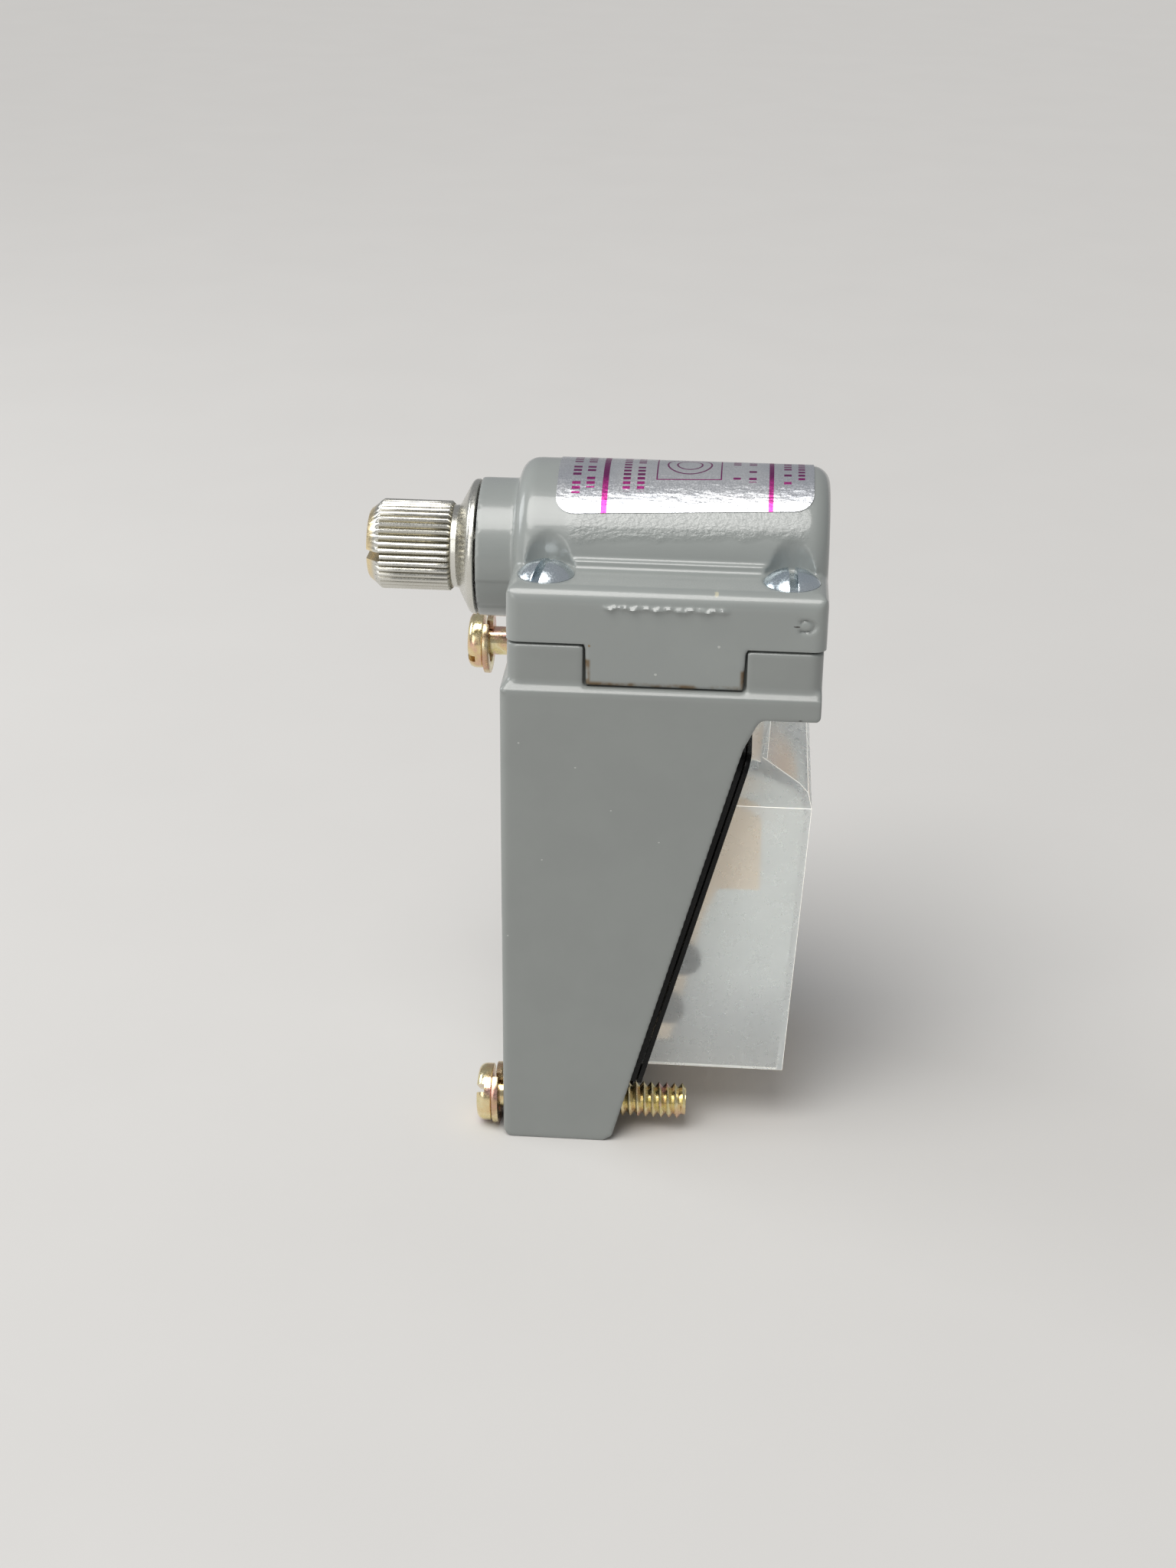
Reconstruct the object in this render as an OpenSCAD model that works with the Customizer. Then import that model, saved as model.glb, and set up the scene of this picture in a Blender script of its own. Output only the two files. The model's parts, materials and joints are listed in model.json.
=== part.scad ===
// Plug-in limit switch with a rotary turret head, millimetres, +Z up.
// Origin: centre of the body's bottom face. The operating shaft points along -Y and
// the contact side faces +Y. The head is held on the body by four screws.

/* [Body casting] */
// Width of the lower body, along X
body_w = 41.6; // [40:0.2:52]
// Distance of the bottom face's rear edge in front of the head's rear face
rear_step = 25.5; // [22:0.1:27]
// Height of the parting plane between body and head
body_h = 71.6; // [70:0.2:90]
// Lean of the rear face, in degrees from the vertical
slant = 15; // [12:0.5:17]
// Lean of the front face over its height
front_lean = 0.4; // [0:0.1:0.8]
// Wall thickness of the casting
wall = 2.6; // [2:0.1:3.2]
// Height of the block that carries the head, above the ledge
block_h = 5.9; // [5.6:0.1:9]
// Thickness of the top plate below the ledge
plate_t = 2.9; // [2.4:0.1:5]

/* [Head casting] */
// Side of the square head flange
head_size = 39.8; // [38:0.2:50]
// Thickness of the head flange
flange_t = 7.4; // [6.5:0.1:9]
// Radius of the half-round barrel
barrel_r = 11.9; // [11.6:0.1:13]
// Height of the shaft axis above the parting plane
axis_h = 5.6; // [5:0.1:6]
// Radius of the round boss in front of the barrel
boss_r = 9.1; // [8.6:0.1:11]
// Length of the boss in front of the flange
boss_len = 5.0; // [4:0.1:8]
// Width of the locating tab on each side
tab_w = 20; // [14:0.2:24]
// Drop of the locating tab below the parting plane
tab_drop = 5.2; // [4:0.1:5.6]

/* [Operating shaft] */
// Diameter of the knurled end
knurl_d = 11.7; // [11:0.1:14]
// Length of the knurled band
knurl_len = 9.3; // [8:0.1:16]
// Number of serrations
knurl_count = 40; // [30:1:48]
// Radius of the shaft inside the head
journal_r = 3.6; // [3.2:0.1:3.8]
// Radius of the conical dust flange
dust_r = 8.8; // [8:0.1:9.6]

/* [Fasteners] */
// Distance from the head's front or rear edge to each head screw
screw_inset = 4.6; // [4.4:0.1:5]
// Distance from the head's side to each head screw
side_inset = 5.6; // [5.2:0.1:6.2]
// Diameter of the head screw's head
oval_d = 7.1; // [6.6:0.1:7.6]
// Radius of the captive mounting screw's thread
captive_r = 2.415; // [2:0.005:2.6]
// Diameter of the captive screw's head
captive_head_d = 7.8; // [6.8:0.1:8.2]
// Height of the lower captive screw above the base
lower_screw_z = 4.1; // [4:0.1:6]
// Height of the upper captive screw above the base
upper_screw_z = 57.8; // [57:0.1:60]
// Length of each screw that stands out behind the rear face when home
captive_reach = 8.9; // [6:0.1:12]
// Distance that a captive screw backs out
backed_out = 4.6; // [3:0.1:6]

/* [Contact housing] */
// Width of the translucent contact housing, along X
housing_w = 30; // [28:0.2:32]
// Width of its upper tower
tower_w = 18; // [17:0.2:20]
// Distance of the tower's rear face in front of the housing's
tower_step = 3.5; // [1:0.1:3.6]
// Wall thickness of the housing
housing_t = 0.9; // [0.7:0.1:1.2]
// Distance of its open rear edge in front of the head's rear face
housing_step = 2.6; // [2:0.1:3.2]
// Growth of that distance up to the roof
housing_flare = 2.0; // [1:0.1:3]
// Height of its open lower edge
housing_z0 = 9.0; // [8.8:0.1:12]
// Height where its roof begins
roof_z = 48.4; // [46:0.1:50]
// Thickness of the body gasket
gasket_t = 1.3; // [1:0.1:1.8]

/* [Mechanism] */
// Stroke of each pin over a quarter turn of the shaft
pin_stroke = 1.5; // [1:0.1:1.8]
// Mean radius of the two cams
cam_r = 7.0; // [6.6:0.1:7.4]
// Distance between the two pins
pin_pitch = 8; // [7.6:0.1:8.6]
// Radius of a pin
pin_r = 1.5; // [1.2:0.1:1.7]
// Radius of a plunger
plunger_r = 2.0; // [1.8:0.1:2.2]

/* [Hidden] */
$fn = 64;
e = 0.01;              // overshoot of a cut
run = 0.06;            // radial running clearance
loose = 0.3;           // free gap between parts that pass each other
head_set = 0.3;         // head's front edge behind the body's front face

half_w = body_w / 2;
base_depth = head_size + head_set - rear_step;   // depth of the bottom face
front_y = -base_depth / 2;
rear_y = base_depth / 2;
ledge_z = body_h - block_h;
plate_z = ledge_z - plate_t;
head_y = front_y + head_set + head_size / 2;
head_front = head_y - head_size / 2;
head_rear = head_y + head_size / 2;
block_w = head_size;
axis_z = body_h + axis_h;
flange_top = body_h + flange_t;
screw_off = head_size / 2 - screw_inset;
side_off = head_size / 2 - side_inset;
boss_front = head_front - boss_len;
captive_x = half_w - 4.6;
cavity_w = body_w - 2 * 4.4;
web_top = plate_z - 1.3;
web_t = 3.0;
cavity_top = web_top - web_t;
cavity_front = front_y + wall;
mouth_top = cavity_top - 5;
lip_t = 1.6;            // wall above the mouth of the contact cavity
pocket_w = 16;
pocket_y = [head_y - 10.5, web_top * tan(slant) + rear_y - 3.2];
cw_y = head_y - pin_pitch / 2;
ccw_y = head_y + pin_pitch / 2;
cam_t = 5;
cam_gap = 0.12;
pin_top = axis_z - cam_r - cam_gap;
guide_top = axis_z - cam_r - pin_stroke - 0.4;
guide_t = 3.6;
plunger_top = web_top + pin_stroke;
bore_front = head_front + 4.4;
bore_rear = head_rear - 6.4;
head_bore_r = barrel_r - 2.6;
bush_r = 4.9;
bush_end = head_front + 1.6;
rear_bush_r = 4.6;
rear_bush_len = 2.8;
rear_journal_r = 3;
gasket_seat = 0.85;     // thickness of the head gasket
gasket_w = pocket_w + 7.4;
gasket_len = head_size - 3.8;
gasket_band = 1.5;      // width of the head gasket's ring
block_top = cavity_top - 3.5;
block_w_half = 13;
mid_z = block_top - 19.5;
bridge_z = block_top - 10.5;
bridge_t = 1.4;
contact_gap = pin_stroke + 0.35;
deck_t = 3.2;
housing_rear = head_rear - housing_step;
block_rear = housing_rear - housing_t - 3.4;
deck_rear = rear_at(mouth_top) - lip_t - 0.1;
captive_head_t = 2.1;
lock_washer_t = 1.4;
captive_wash_r = 4.2;
label_angle = 45;
label_len = head_size - 7.4;
label_y = head_y + 1.5;   // middle of the label

// Y of the slanted rear face at height z
function rear_at(z) = rear_y + z * tan(slant);
// Points of an arc, in the XY plane
function arc(r, a0, a1, n) = [for (i = [0:n]) let (a = a0 + (a1 - a0) * i / n) [r * cos(a), r * sin(a)]];

// ---- shared shapes ----
module rrect(w, d, r) {
    square([w - 2 * r, d], center = true);
    square([w, d - 2 * r], center = true);
    for (x = [-1, 1], y = [-1, 1])
        translate([x * (w / 2 - r), y * (d / 2 - r)]) circle(r);
}
// Extrudes a YZ outline along X, from x0 over length w
module along_x(x0, w) { translate([x0, 0, 0]) rotate([90, 0, 90]) linear_extrude(w) children(); }
// Extrudes an XZ outline along Y, from y0 over length d
module along_y(y0, d) { translate([0, y0 + d, 0]) rotate([90, 0, 0]) linear_extrude(d) children(); }
// Cylinder along +Y starting at y0
module cyl_y(y0, len, r) { translate([0, y0, 0]) rotate([-90, 0, 0]) cylinder(h = len, r = r); }
// Cylinder along +X starting at x0
module cyl_x(x0, len, r) { translate([x0, 0, 0]) rotate([0, 90, 0]) cylinder(h = len, r = r); }
// Local frame on the rear face: Y points out of the face, Z runs up it
module on_slant() { translate([0, rear_y, 0]) rotate([-slant, 0, 0]) children(); }
// Solid of revolution about the Y axis from an outline of [radius, y] points
module lathe_y(outline) { rotate([-90, 0, 0]) rotate_extrude() polygon(outline); }
// Coil of round wire about +Z
module coil(r, wire, height, turns, sides, steps) {
    n = turns * steps;
    pts = [for (i = [0:n], j = [0:sides - 1]) let (a = 360 * i / steps, b = 360 * j / sides,
        q = r + wire * cos(b)) [q * cos(a), q * sin(a), height * i / n + wire * sin(b)]];
    walls = [for (i = [0:n - 1], j = [0:sides - 1]) let (k = (j + 1) % sides)
        [i * sides + j, (i + 1) * sides + j, (i + 1) * sides + k, i * sides + k]];
    polyhedron(pts, concat(walls, [[for (j = [0:sides - 1]) j],
        [for (j = [sides - 1:-1:0]) n * sides + j]]), convexity = 8);
}
module captive_places() {
    translate([captive_x, 0, lower_screw_z]) children(0);
    translate([-captive_x, 0, upper_screw_z]) children(1);
}
module head_screw_places() {
    for (x = [-1, 1], y = [-1, 1]) translate([x * side_off, head_y + y * screw_off, 0]) children();
}
module pin_places() { for (y = [cw_y, ccw_y]) translate([0, y, 0]) children(); }

// ---- body ----
module body_outline() {
    r = 0.8;
    polygon(concat([[front_y + r, 0], [rear_y - r, 0], [rear_at(r), r]],
        [[rear_at(plate_z - 4), plate_z - 4], [rear_at(plate_z - 4) + 1.6, plate_z - 0.6],
         [rear_at(plate_z) + 1.1, plate_z], [head_rear - 0.7, plate_z], [head_rear - 0.3, plate_z + 0.5],
         [head_rear - 0.3, ledge_z], [front_y - front_lean, ledge_z], [front_y, r]]));
}
module body_casting() color([0.51, 0.53, 0.51]) difference() {
    union() {
        difference() {
            union() {
                intersection() {
                    along_x(-half_w, body_w) body_outline();
                    translate([0, head_y, 0]) linear_extrude(body_h)
                        rrect(body_w, 2 * (head_y - front_y + front_lean), 1.2);
                }
                // sloped ledge under the head block
                intersection() {
                    along_y(head_front - 1, head_size + 2)
                        polygon([[-half_w, ledge_z - 0.2], [half_w, ledge_z - 0.2], [block_w / 2, ledge_z + 0.8],
                            [-block_w / 2, ledge_z + 0.8]]);
                    along_x(-half_w, body_w)
                        polygon([[front_y - front_lean, ledge_z - 0.2], [head_rear - 0.3, ledge_z - 0.2],
                            [head_rear - 0.3, ledge_z + 0.8], [head_front + 0.1, ledge_z + 0.8]]);
                }
                translate([0, head_y - 0.1, ledge_z - 0.2])
                    linear_extrude(block_h + 0.2) rrect(block_w, head_size - 0.4, 1.6);
            }
            // contact cavity, open through the rear face
            along_x(-cavity_w / 2, cavity_w) polygon([[cavity_front, wall], [rear_at(wall) + 5, wall],
                [rear_at(mouth_top) + 5, mouth_top], [rear_at(mouth_top) - lip_t, mouth_top],
                [rear_at(cavity_top) - lip_t, cavity_top], [cavity_front, cavity_top]]);
        }
        // screw bosses in two corners of the cavity
        intersection() {
            along_x(-half_w + 0.5, body_w - 1) body_outline();
            captive_places() { cyl_y(front_y + 1, 40, 4.5); cyl_y(front_y + 1, 40, 4.5); }
        }
    }
    // head pocket
    translate([-pocket_w / 2, pocket_y[0], web_top]) cube([pocket_w, pocket_y[1] - pocket_y[0], 20]);
    // wider seat of the pin guide
    translate([-pocket_w / 2 - 2, pocket_y[0] - 2, guide_top - 1.6])
        cube([pocket_w + 4, pocket_y[1] - pocket_y[0] + 4, 20]);
    // notches for the locating tabs
    for (s = [-1, 1]) translate([s * (block_w / 2 - 1.2 + 5), head_y, body_h - tab_drop / 2 - 0.1 + 5])
        cube([10, tab_w + 0.4, tab_drop + 0.2 + 10], center = true);
    // plunger bores and seal seats
    pin_places() {
        translate([0, 0, cavity_top - e]) cylinder(h = web_t + 1, r = plunger_r + run);
        translate([0, 0, web_top - 1.3]) cylinder(h = 3, r = plunger_r + 1.3);
    }
    // tapped holes of the head screws
    head_screw_places() translate([0, 0, body_h - 6.6]) cylinder(h = 10, r = 1.75);
    // clearance holes of the captive screws
    captive_places() {
        cyl_y(front_y - 5, 60, captive_r + 0.15);
        cyl_y(front_y - 5, 60, captive_r + 0.15);
    }
    // tapped holes of the contact block's screws
    block_screw_places() cyl_y(front_y + 1, 10, 1.4);
    // recess of the front plate
    translate([-13, front_y - front_lean - 1, 14]) cube([26, 1 + front_lean + 0.1, 34]);
}
module front_plate() color([0.72, 0.73, 0.73])
    translate([0, front_y + 0.1, 31]) rotate([90, 0, 0]) linear_extrude(0.5) rrect(25.6, 33.6, 1.5);
module body_gasket() color([0.03, 0.03, 0.03]) difference() {
    s0 = 1.8;                                    // lower edge, measured up the rear face
    s1 = (mouth_top + 4.2) / cos(slant);
    mid = (s0 + s1) / 2;
    corner = [8.8, 5.5, 2.9];                    // width, lower and upper height of the cut corners
    corner_r = 5.4;
    open0 = (housing_z0 - 0.9) / cos(slant);
    open1 = mouth_top / cos(slant) + 0.2;
    on_slant() difference() {
        union() {
            slant_plate(mid, gasket_t) rrect(body_w - 0.8, s1 - s0, 2.5);
            // raised bead round the edge
            slant_plate(mid, gasket_t + 0.35) difference() {
                rrect(body_w - 2.2, s1 - s0 - 1.4, 2);
                rrect(body_w - 4.2, s1 - s0 - 3.4, 1.5);
                // the bead stops on both sides of the housing's tower
                translate([0, (s1 - s0) / 2]) square([tower_w + 2 * loose, 8], center = true);
            }
        }
        translate([0, -10, 0]) slant_plate((open0 + open1) / 2, 20)
            rrect(housing_w + 2 * loose, open1 - open0, 0.8);
    }
    // corners cut away at the two captive screws
    on_slant() {
        translate([half_w - 0.4 - corner[0], -5, s0 - 1]) cube([20, 20, corner[1] + 1]);
        translate([corner[0] - half_w + 0.4 - 20, -5, s1 - corner[2]]) cube([20, 20, 10]);
        translate([half_w - 0.4, 15, s0 + 2.8]) rotate([90, 0, 0]) cylinder(h = 20, r = corner_r);
    }
    captive_places() {
        cyl_y(-30, 90, captive_r + 0.4);
        cyl_y(-30, 90, captive_r + 0.4);
    }
}
// Plate on the rear face: its outline is centred mid up the face, its thickness t points outwards
module slant_plate(mid, t) { translate([0, t, mid]) rotate([90, 0, 0]) linear_extrude(t) children(); }

// ---- head ----
module head_shell() {
    edge = 1.4;
    side_edge = 2;
    // flange with rounded upper edges
    intersection() {
        translate([0, head_y, body_h]) linear_extrude(flange_t) rrect(head_size, head_size, 1.6);
        along_x(-head_size, 2 * head_size) translate([head_y, flange_top - 10])
            rrect_top(head_size, 20, edge);
        along_y(head_y - head_size, 2 * head_size) translate([0, flange_top - 10])
            rrect_top(head_size, 20, side_edge);
    }
    // barrel with rounded ends, and the boss in front of it
    intersection() {
        translate([0, 0, axis_z]) union() {
            barrel_solid();
            cyl_y(boss_front, boss_len + 3, boss_r);
        }
        union() {
            translate([-20, head_front, body_h]) cube([40, head_size, 40]);
            translate([-20, boss_front - 1, axis_z - 20]) cube([40, boss_len + 1, 40]);
        }
    }
    // fillets where the barrel meets the flange
    for (s = [-1, 1]) along_y(head_front + 1.6, head_size - 3.2) translate([s * (barrel_r - 0.6), flange_top - e])
        difference() {
            square([4.2, 2.1 + e], center = true);
            translate([s * 2.1, 1.05]) circle(1.3);
            translate([s * 2.2, 1.9]) square([2.4, 1.7], center = true);
        }
    // locating tabs
    for (s = [-1, 1]) translate([s * (head_size / 2 - 0.6), head_y, 0])
        along_x(-0.6, 1.2) polygon([[-tab_w / 2, body_h + 1], [tab_w / 2, body_h + 1],
            [tab_w / 2 - 0.2, body_h - tab_drop], [-tab_w / 2 + 0.2, body_h - tab_drop]]);
}
// Rectangle with its two upper corners rounded
module rrect_top(w, h, r) {
    translate([0, -r / 2]) square([w, h - r], center = true);
    square([w - 2 * r, h], center = true);
    for (s = [-1, 1]) translate([s * (w / 2 - r), h / 2 - r]) circle(r);
}
module barrel_solid() {
    r = 2.4;
    lathe_y(concat([[0, head_front], [barrel_r - r, head_front]],
        [for (p = arc(r, -90, 0, 6)) [barrel_r - r + p[0], head_front + r + p[1]]],
        [for (p = arc(r, 0, 90, 6)) [barrel_r - r + p[0], head_rear - r + p[1]]],
        [[0, head_rear]]));
}
module head_housing() color([0.53, 0.55, 0.53]) difference() {
    head_shell();
    // cam chamber, open downwards
    translate([0, 0, axis_z]) {
        cyl_y(bore_front, bore_rear - bore_front, head_bore_r);
        cyl_y(boss_front - e, bush_end - boss_front + e, bush_r);
        cyl_y(boss_front, 20, journal_r + 0.4);
        cyl_y(bore_rear - e, rear_bush_len + e, rear_bush_r);
    }
    translate([-head_bore_r, bore_front, body_h - 3]) cube([2 * head_bore_r, bore_rear - bore_front, axis_h + 3]);
    // scallops above the screws, and their countersunk holes
    head_screw_places() {
        translate([0, 0, flange_top]) cylinder(h = 20, r = oval_d / 2 + 0.45);
        translate([0, 0, flange_top - 1.9]) cylinder(h = 2, r1 = 1.9, r2 = oval_d / 2 + 0.1);
        translate([0, 0, body_h - 1]) cylinder(h = flange_t, r = 1.9);
    }
    // groove of the head gasket
    translate([0, head_y, body_h - e]) linear_extrude(gasket_seat + e) gasket_ring(0.1);
}
module gasket_ring(fit) difference() {
    rrect(gasket_w + 2 * fit, gasket_len + 2 * fit, 3);
    rrect(gasket_w - 2 * gasket_band - 2 * fit, gasket_len - 2 * gasket_band - 2 * fit, 2);
}
module head_gasket() color([0.05, 0.05, 0.05])
    translate([0, head_y, body_h]) linear_extrude(gasket_seat) gasket_ring(0);
module head_label() color([0.8, 0.81, 0.83]) intersection() {
    translate([0, 0, axis_z]) along_y(label_y - label_len / 2, label_len) difference() {
        circle(barrel_r + 0.14);
        circle(barrel_r + 0.04);
        rotate(180 + 90 - label_angle) translate([-50, -e]) square([100, 50]);
        rotate(90 + label_angle) translate([-50, -e]) square([100, 50]);
    }
    translate([0, label_y, axis_z]) linear_extrude(20)
        rrect(2 * barrel_r * sin(label_angle) + 0.1, label_len, 2.4);
}
module head_screws() color([0.78, 0.82, 0.85]) head_screw_places() difference() {
    union() {
        intersection() {
            translate([0, 0, flange_top - 2.75]) sphere(r = 4.5);
            translate([0, 0, flange_top - e]) cylinder(h = 5, r = oval_d / 2);
        }
        translate([0, 0, flange_top - 1.85]) cylinder(h = 1.85, r1 = 1.75, r2 = oval_d / 2);
        translate([0, 0, body_h - 6.2]) cylinder(h = flange_t + 6, r = 1.7);
    }
    translate([0, 0, flange_top + 1]) rotate([0, 0, 90]) cube([1, 12, 2.4], center = true);
}

// ---- shaft and its bearings ----
module operating_shaft() color([0.75, 0.76, 0.74]) translate([0, 0, axis_z]) difference() {
    k = knurl_d / 2;
    y1 = boss_front - 0.3;          // back of the dust flange
    y2 = y1 - 2.5;                  // neck
    y3 = y2 - 0.9;                  // end of the serrations
    y4 = y3 - knurl_len;
    union() {
        lathe_y([[0, y4 - 1.65], [k - 1.5, y4 - 1.65], [k - 0.4, y4 - 0.3], [k, y4], [k, y3], [k - 0.5, y3],
            [k - 0.4, y2], [k + 0.2, y2 + 0.3], [dust_r - 0.3, y1 - 0.9], [dust_r, y1 - 0.6], [dust_r, y1],
            [journal_r, y1], [journal_r, bore_rear - 0.5], [rear_journal_r, bore_rear - 0.5],
            [rear_journal_r, bore_rear + rear_bush_len - 0.2], [0, bore_rear + rear_bush_len - 0.2]]);
    }
    // serrations
    for (i = [0:knurl_count - 1]) rotate([0, i * 360 / knurl_count, 0])
        translate([k, (y3 + y4) / 2, 0]) rotate([0, 45, 0])
            cube([0.16, knurl_len + 0.2, 0.16], center = true);
    // screwdriver slot across the end
    translate([0, y4 - 1.2, 0]) cube([20, 2, 1.2], center = true);
    // groove of the retaining clip
    translate([0, bore_front + 0.1, 0]) difference() {
        cyl_y(0, 0.9, 8);
        cyl_y(-1, 3, journal_r - 0.5);
    }
    // cross holes of the cam pins
    for (y = [cw_y, ccw_y]) translate([0, y, 0]) cylinder(h = 2 * cam_r + 6, r = 0.8, center = true);
}
module shaft_seal() color([0.06, 0.06, 0.06]) translate([0, 0, axis_z]) difference() {
    cyl_y(boss_front + 0.2, 2, bush_r - e);
    cyl_y(boss_front, 3, journal_r + 0.08);
}
module front_bushing() color([0.72, 0.52, 0.3]) translate([0, 0, axis_z]) difference() {
    cyl_y(boss_front + 2.3, bush_end - boss_front - 2.3, bush_r - e);
    cyl_y(boss_front, 12, journal_r + run);
}
module rear_bushing() color([0.72, 0.52, 0.3]) translate([0, 0, axis_z]) difference() {
    cyl_y(bore_rear, rear_bush_len - e, rear_bush_r - e);
    cyl_y(bore_rear - 1, 6, rear_journal_r + run);
}
module shaft_clip() color([0.2, 0.2, 0.2]) translate([0, bore_front + 0.15, axis_z]) difference() {
    cyl_y(0, 0.8, journal_r + 1.3);
    cyl_y(-1, 3, journal_r - 0.5);
    translate([-1.6, -1, 0]) cube([3.2, 3, 9]);
}
// Spiral cam: its radius below the axis changes by the pin stroke over a quarter turn
module cam(y, sense) {
    n = 24;
    rise = [for (i = [-n:n]) let (a = 100 * i / n, r = cam_r + sense * pin_stroke * a / 90)
        [r * sin(a), -r * cos(a)]];
    low = cam_r - 100 / 90 * pin_stroke;
    back = [for (i = [1:n - 1]) let (a = 100 + 160 * i / n, r = cam_r + sense * pin_stroke *
        (100 - 200 * i / n) / 90) [r * sin(a), -r * cos(a)]];
    translate([0, 0, axis_z]) difference() {
        along_y(y - cam_t / 2, cam_t) polygon(concat(rise, back));
        cyl_y(y - cam_t, 2 * cam_t, journal_r + 0.02);
        translate([0, y, 0]) cylinder(h = 40, r = 0.8, center = true);
    }
}
module cw_cam() color([0.55, 0.5, 0.4]) cam(cw_y, 1);
module ccw_cam() color([0.5, 0.47, 0.42]) cam(ccw_y, -1);
module cam_pins() color([0.3, 0.3, 0.32]) for (y = [cw_y, ccw_y])
    translate([0, y, axis_z + journal_r + 0.55]) cylinder(h = 9, r = 0.78, center = true);
module spring_collar() color([0.4, 0.4, 0.42]) translate([0, 0, axis_z]) difference() {
    cyl_y(bore_rear - 2.2, 1.6, journal_r + 1.4);
    cyl_y(bore_rear - 4, 6, journal_r + 0.02);
}
module return_spring() color([0.35, 0.36, 0.38]) translate([0, bore_rear - 2.9, axis_z]) rotate([90, 0, 0])
    coil(journal_r + 0.9, 0.32, 3.4, 4, 8, 20);

// ---- pins and plungers ----
module pin_guide() color([0.12, 0.12, 0.13]) difference() {
    union() {
        translate([-pocket_w / 2 + 0.1, pocket_y[0] + 0.1, guide_top - guide_t])
            cube([pocket_w - 0.2, pocket_y[1] - pocket_y[0] - 0.2, guide_t]);
        translate([-pocket_w / 2 - 1.8, pocket_y[0] - 1.8, guide_top - 1.6])
            cube([pocket_w + 3.6, pocket_y[1] - pocket_y[0] + 3.6, 1.6]);
    }
    pin_places() translate([0, 0, 40]) cylinder(h = 50, r = pin_r + run);
}
module pin(y) {
    translate([0, y, plunger_top + 0.02]) cylinder(h = pin_top - plunger_top - 0.52, r = pin_r);
    translate([0, y, pin_top - 0.5 - e]) cylinder(h = 0.5 + e, r1 = pin_r, r2 = pin_r - 0.6);
}
module cw_pin() color([0.8, 0.8, 0.82]) pin(cw_y);
module ccw_pin() color([0.8, 0.8, 0.82]) pin(ccw_y);
module plunger(y) difference() {
    union() {
        translate([0, y, bridge_z + 4]) cylinder(h = plunger_top - bridge_z - 4, r = plunger_r);
        translate([0, y, mid_z - 0.5]) cylinder(h = bridge_z - mid_z + 4.6, r = plunger_r - 0.6);
        // collar that drives the bridge
        translate([0, y, bridge_z + bridge_t / 2]) cylinder(h = 1.6, r = plunger_r + 0.6);
    }
}
module cw_plunger() color([0.75, 0.2, 0.15]) plunger(cw_y);
module ccw_plunger() color([0.75, 0.2, 0.15]) plunger(ccw_y);
module plunger_seals() color([0.06, 0.06, 0.06]) pin_places() translate([0, 0, web_top - 1.28])
    difference() {
        cylinder(h = 1.2, r = plunger_r + 1.25);
        translate([0, 0, -1]) cylinder(h = 4, r = plunger_r + 0.08);
    }
module bridge(y) {
    difference() {
        union() {
            translate([0, y, bridge_z]) cube([18.4, 3.4, bridge_t], center = true);
            for (s = [-1, 1], u = [-1, 1]) translate([s * 7.9, y, bridge_z + u * 0.7])
                translate([0, 0, -0.35]) cylinder(h = 0.7, r = 1.3);
        }
        translate([0, y, bridge_z - 5]) cylinder(h = 10, r = plunger_r - 0.59);
    }
}
module cw_bridge() color([0.72, 0.45, 0.3]) bridge(cw_y);
module ccw_bridge() color([0.72, 0.45, 0.3]) bridge(ccw_y);
module plunger_spring(y) translate([0, y, mid_z + deck_t + 0.3])
    coil(plunger_r + 0.3, 0.24, bridge_z - bridge_t / 2 - mid_z - deck_t - 0.6, 4, 6, 16);
module cw_plunger_spring() color([0.6, 0.6, 0.62]) plunger_spring(cw_y);
module ccw_plunger_spring() color([0.6, 0.6, 0.62]) plunger_spring(ccw_y);

// ---- contact block ----
module contact_block() color([0.72, 0.6, 0.45]) difference() {
    union() {
        // upright against the front wall
        translate([-block_w_half, cavity_front, wall + 6]) cube([2 * block_w_half, 5, block_top - wall - 6]);
        // upper and middle decks
        along_x(-block_w_half, 2 * block_w_half) polygon([[cavity_front, block_top - deck_t],
            [deck_rear, block_top - deck_t], [deck_rear, block_top], [cavity_front, block_top]]);
        along_x(-block_w_half, 2 * block_w_half) polygon([[cavity_front, mid_z], [block_rear - 1.5, mid_z],
            [block_rear - 1.5, mid_z + deck_t], [cavity_front, mid_z + deck_t]]);
        // side walls
        for (s = [-1, 1]) translate([s * (block_w_half - 1), 0, 0]) along_x(-1, 2)
            polygon([[cavity_front, mid_z], [block_rear, mid_z], [block_rear, roof_z - 3],
                [block_rear - 2, roof_z - 1.4], [deck_rear, roof_z + 0.4], [deck_rear, block_top],
                [cavity_front, block_top]]);
        // terminal apron
        along_x(-9, 18) polygon([[cavity_front + 4, wall + 8], [rear_at(wall + 8) + 5, wall + 8],
            [rear_at(wall + 8) + 9, mid_z - 6], [rear_at(mid_z) + 5, mid_z + 1], [cavity_front + 4, mid_z + 1]]);
    }
    pin_places() {
        translate([0, 0, block_top - 5]) cylinder(h = 20, r = plunger_r + run);
        translate([0, 0, mid_z - 5]) cylinder(h = 5 + deck_t + 1, r = plunger_r - 0.6 + run);
        translate([0, 0, mid_z - 3.5]) cylinder(h = 3.5, r = plunger_r);
    }
    // clearance round the body's screw bosses
    captive_places() {
        cyl_y(-30, 90, 4.8);
        cyl_y(-30, 90, 4.8);
    }
    // tapped holes of the terminal and block screws
    terminal_places() cyl_x(2.5, 20, 1.3);
    block_screw_places() cyl_y(cavity_front - e, 6, 1.4);
}
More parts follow.
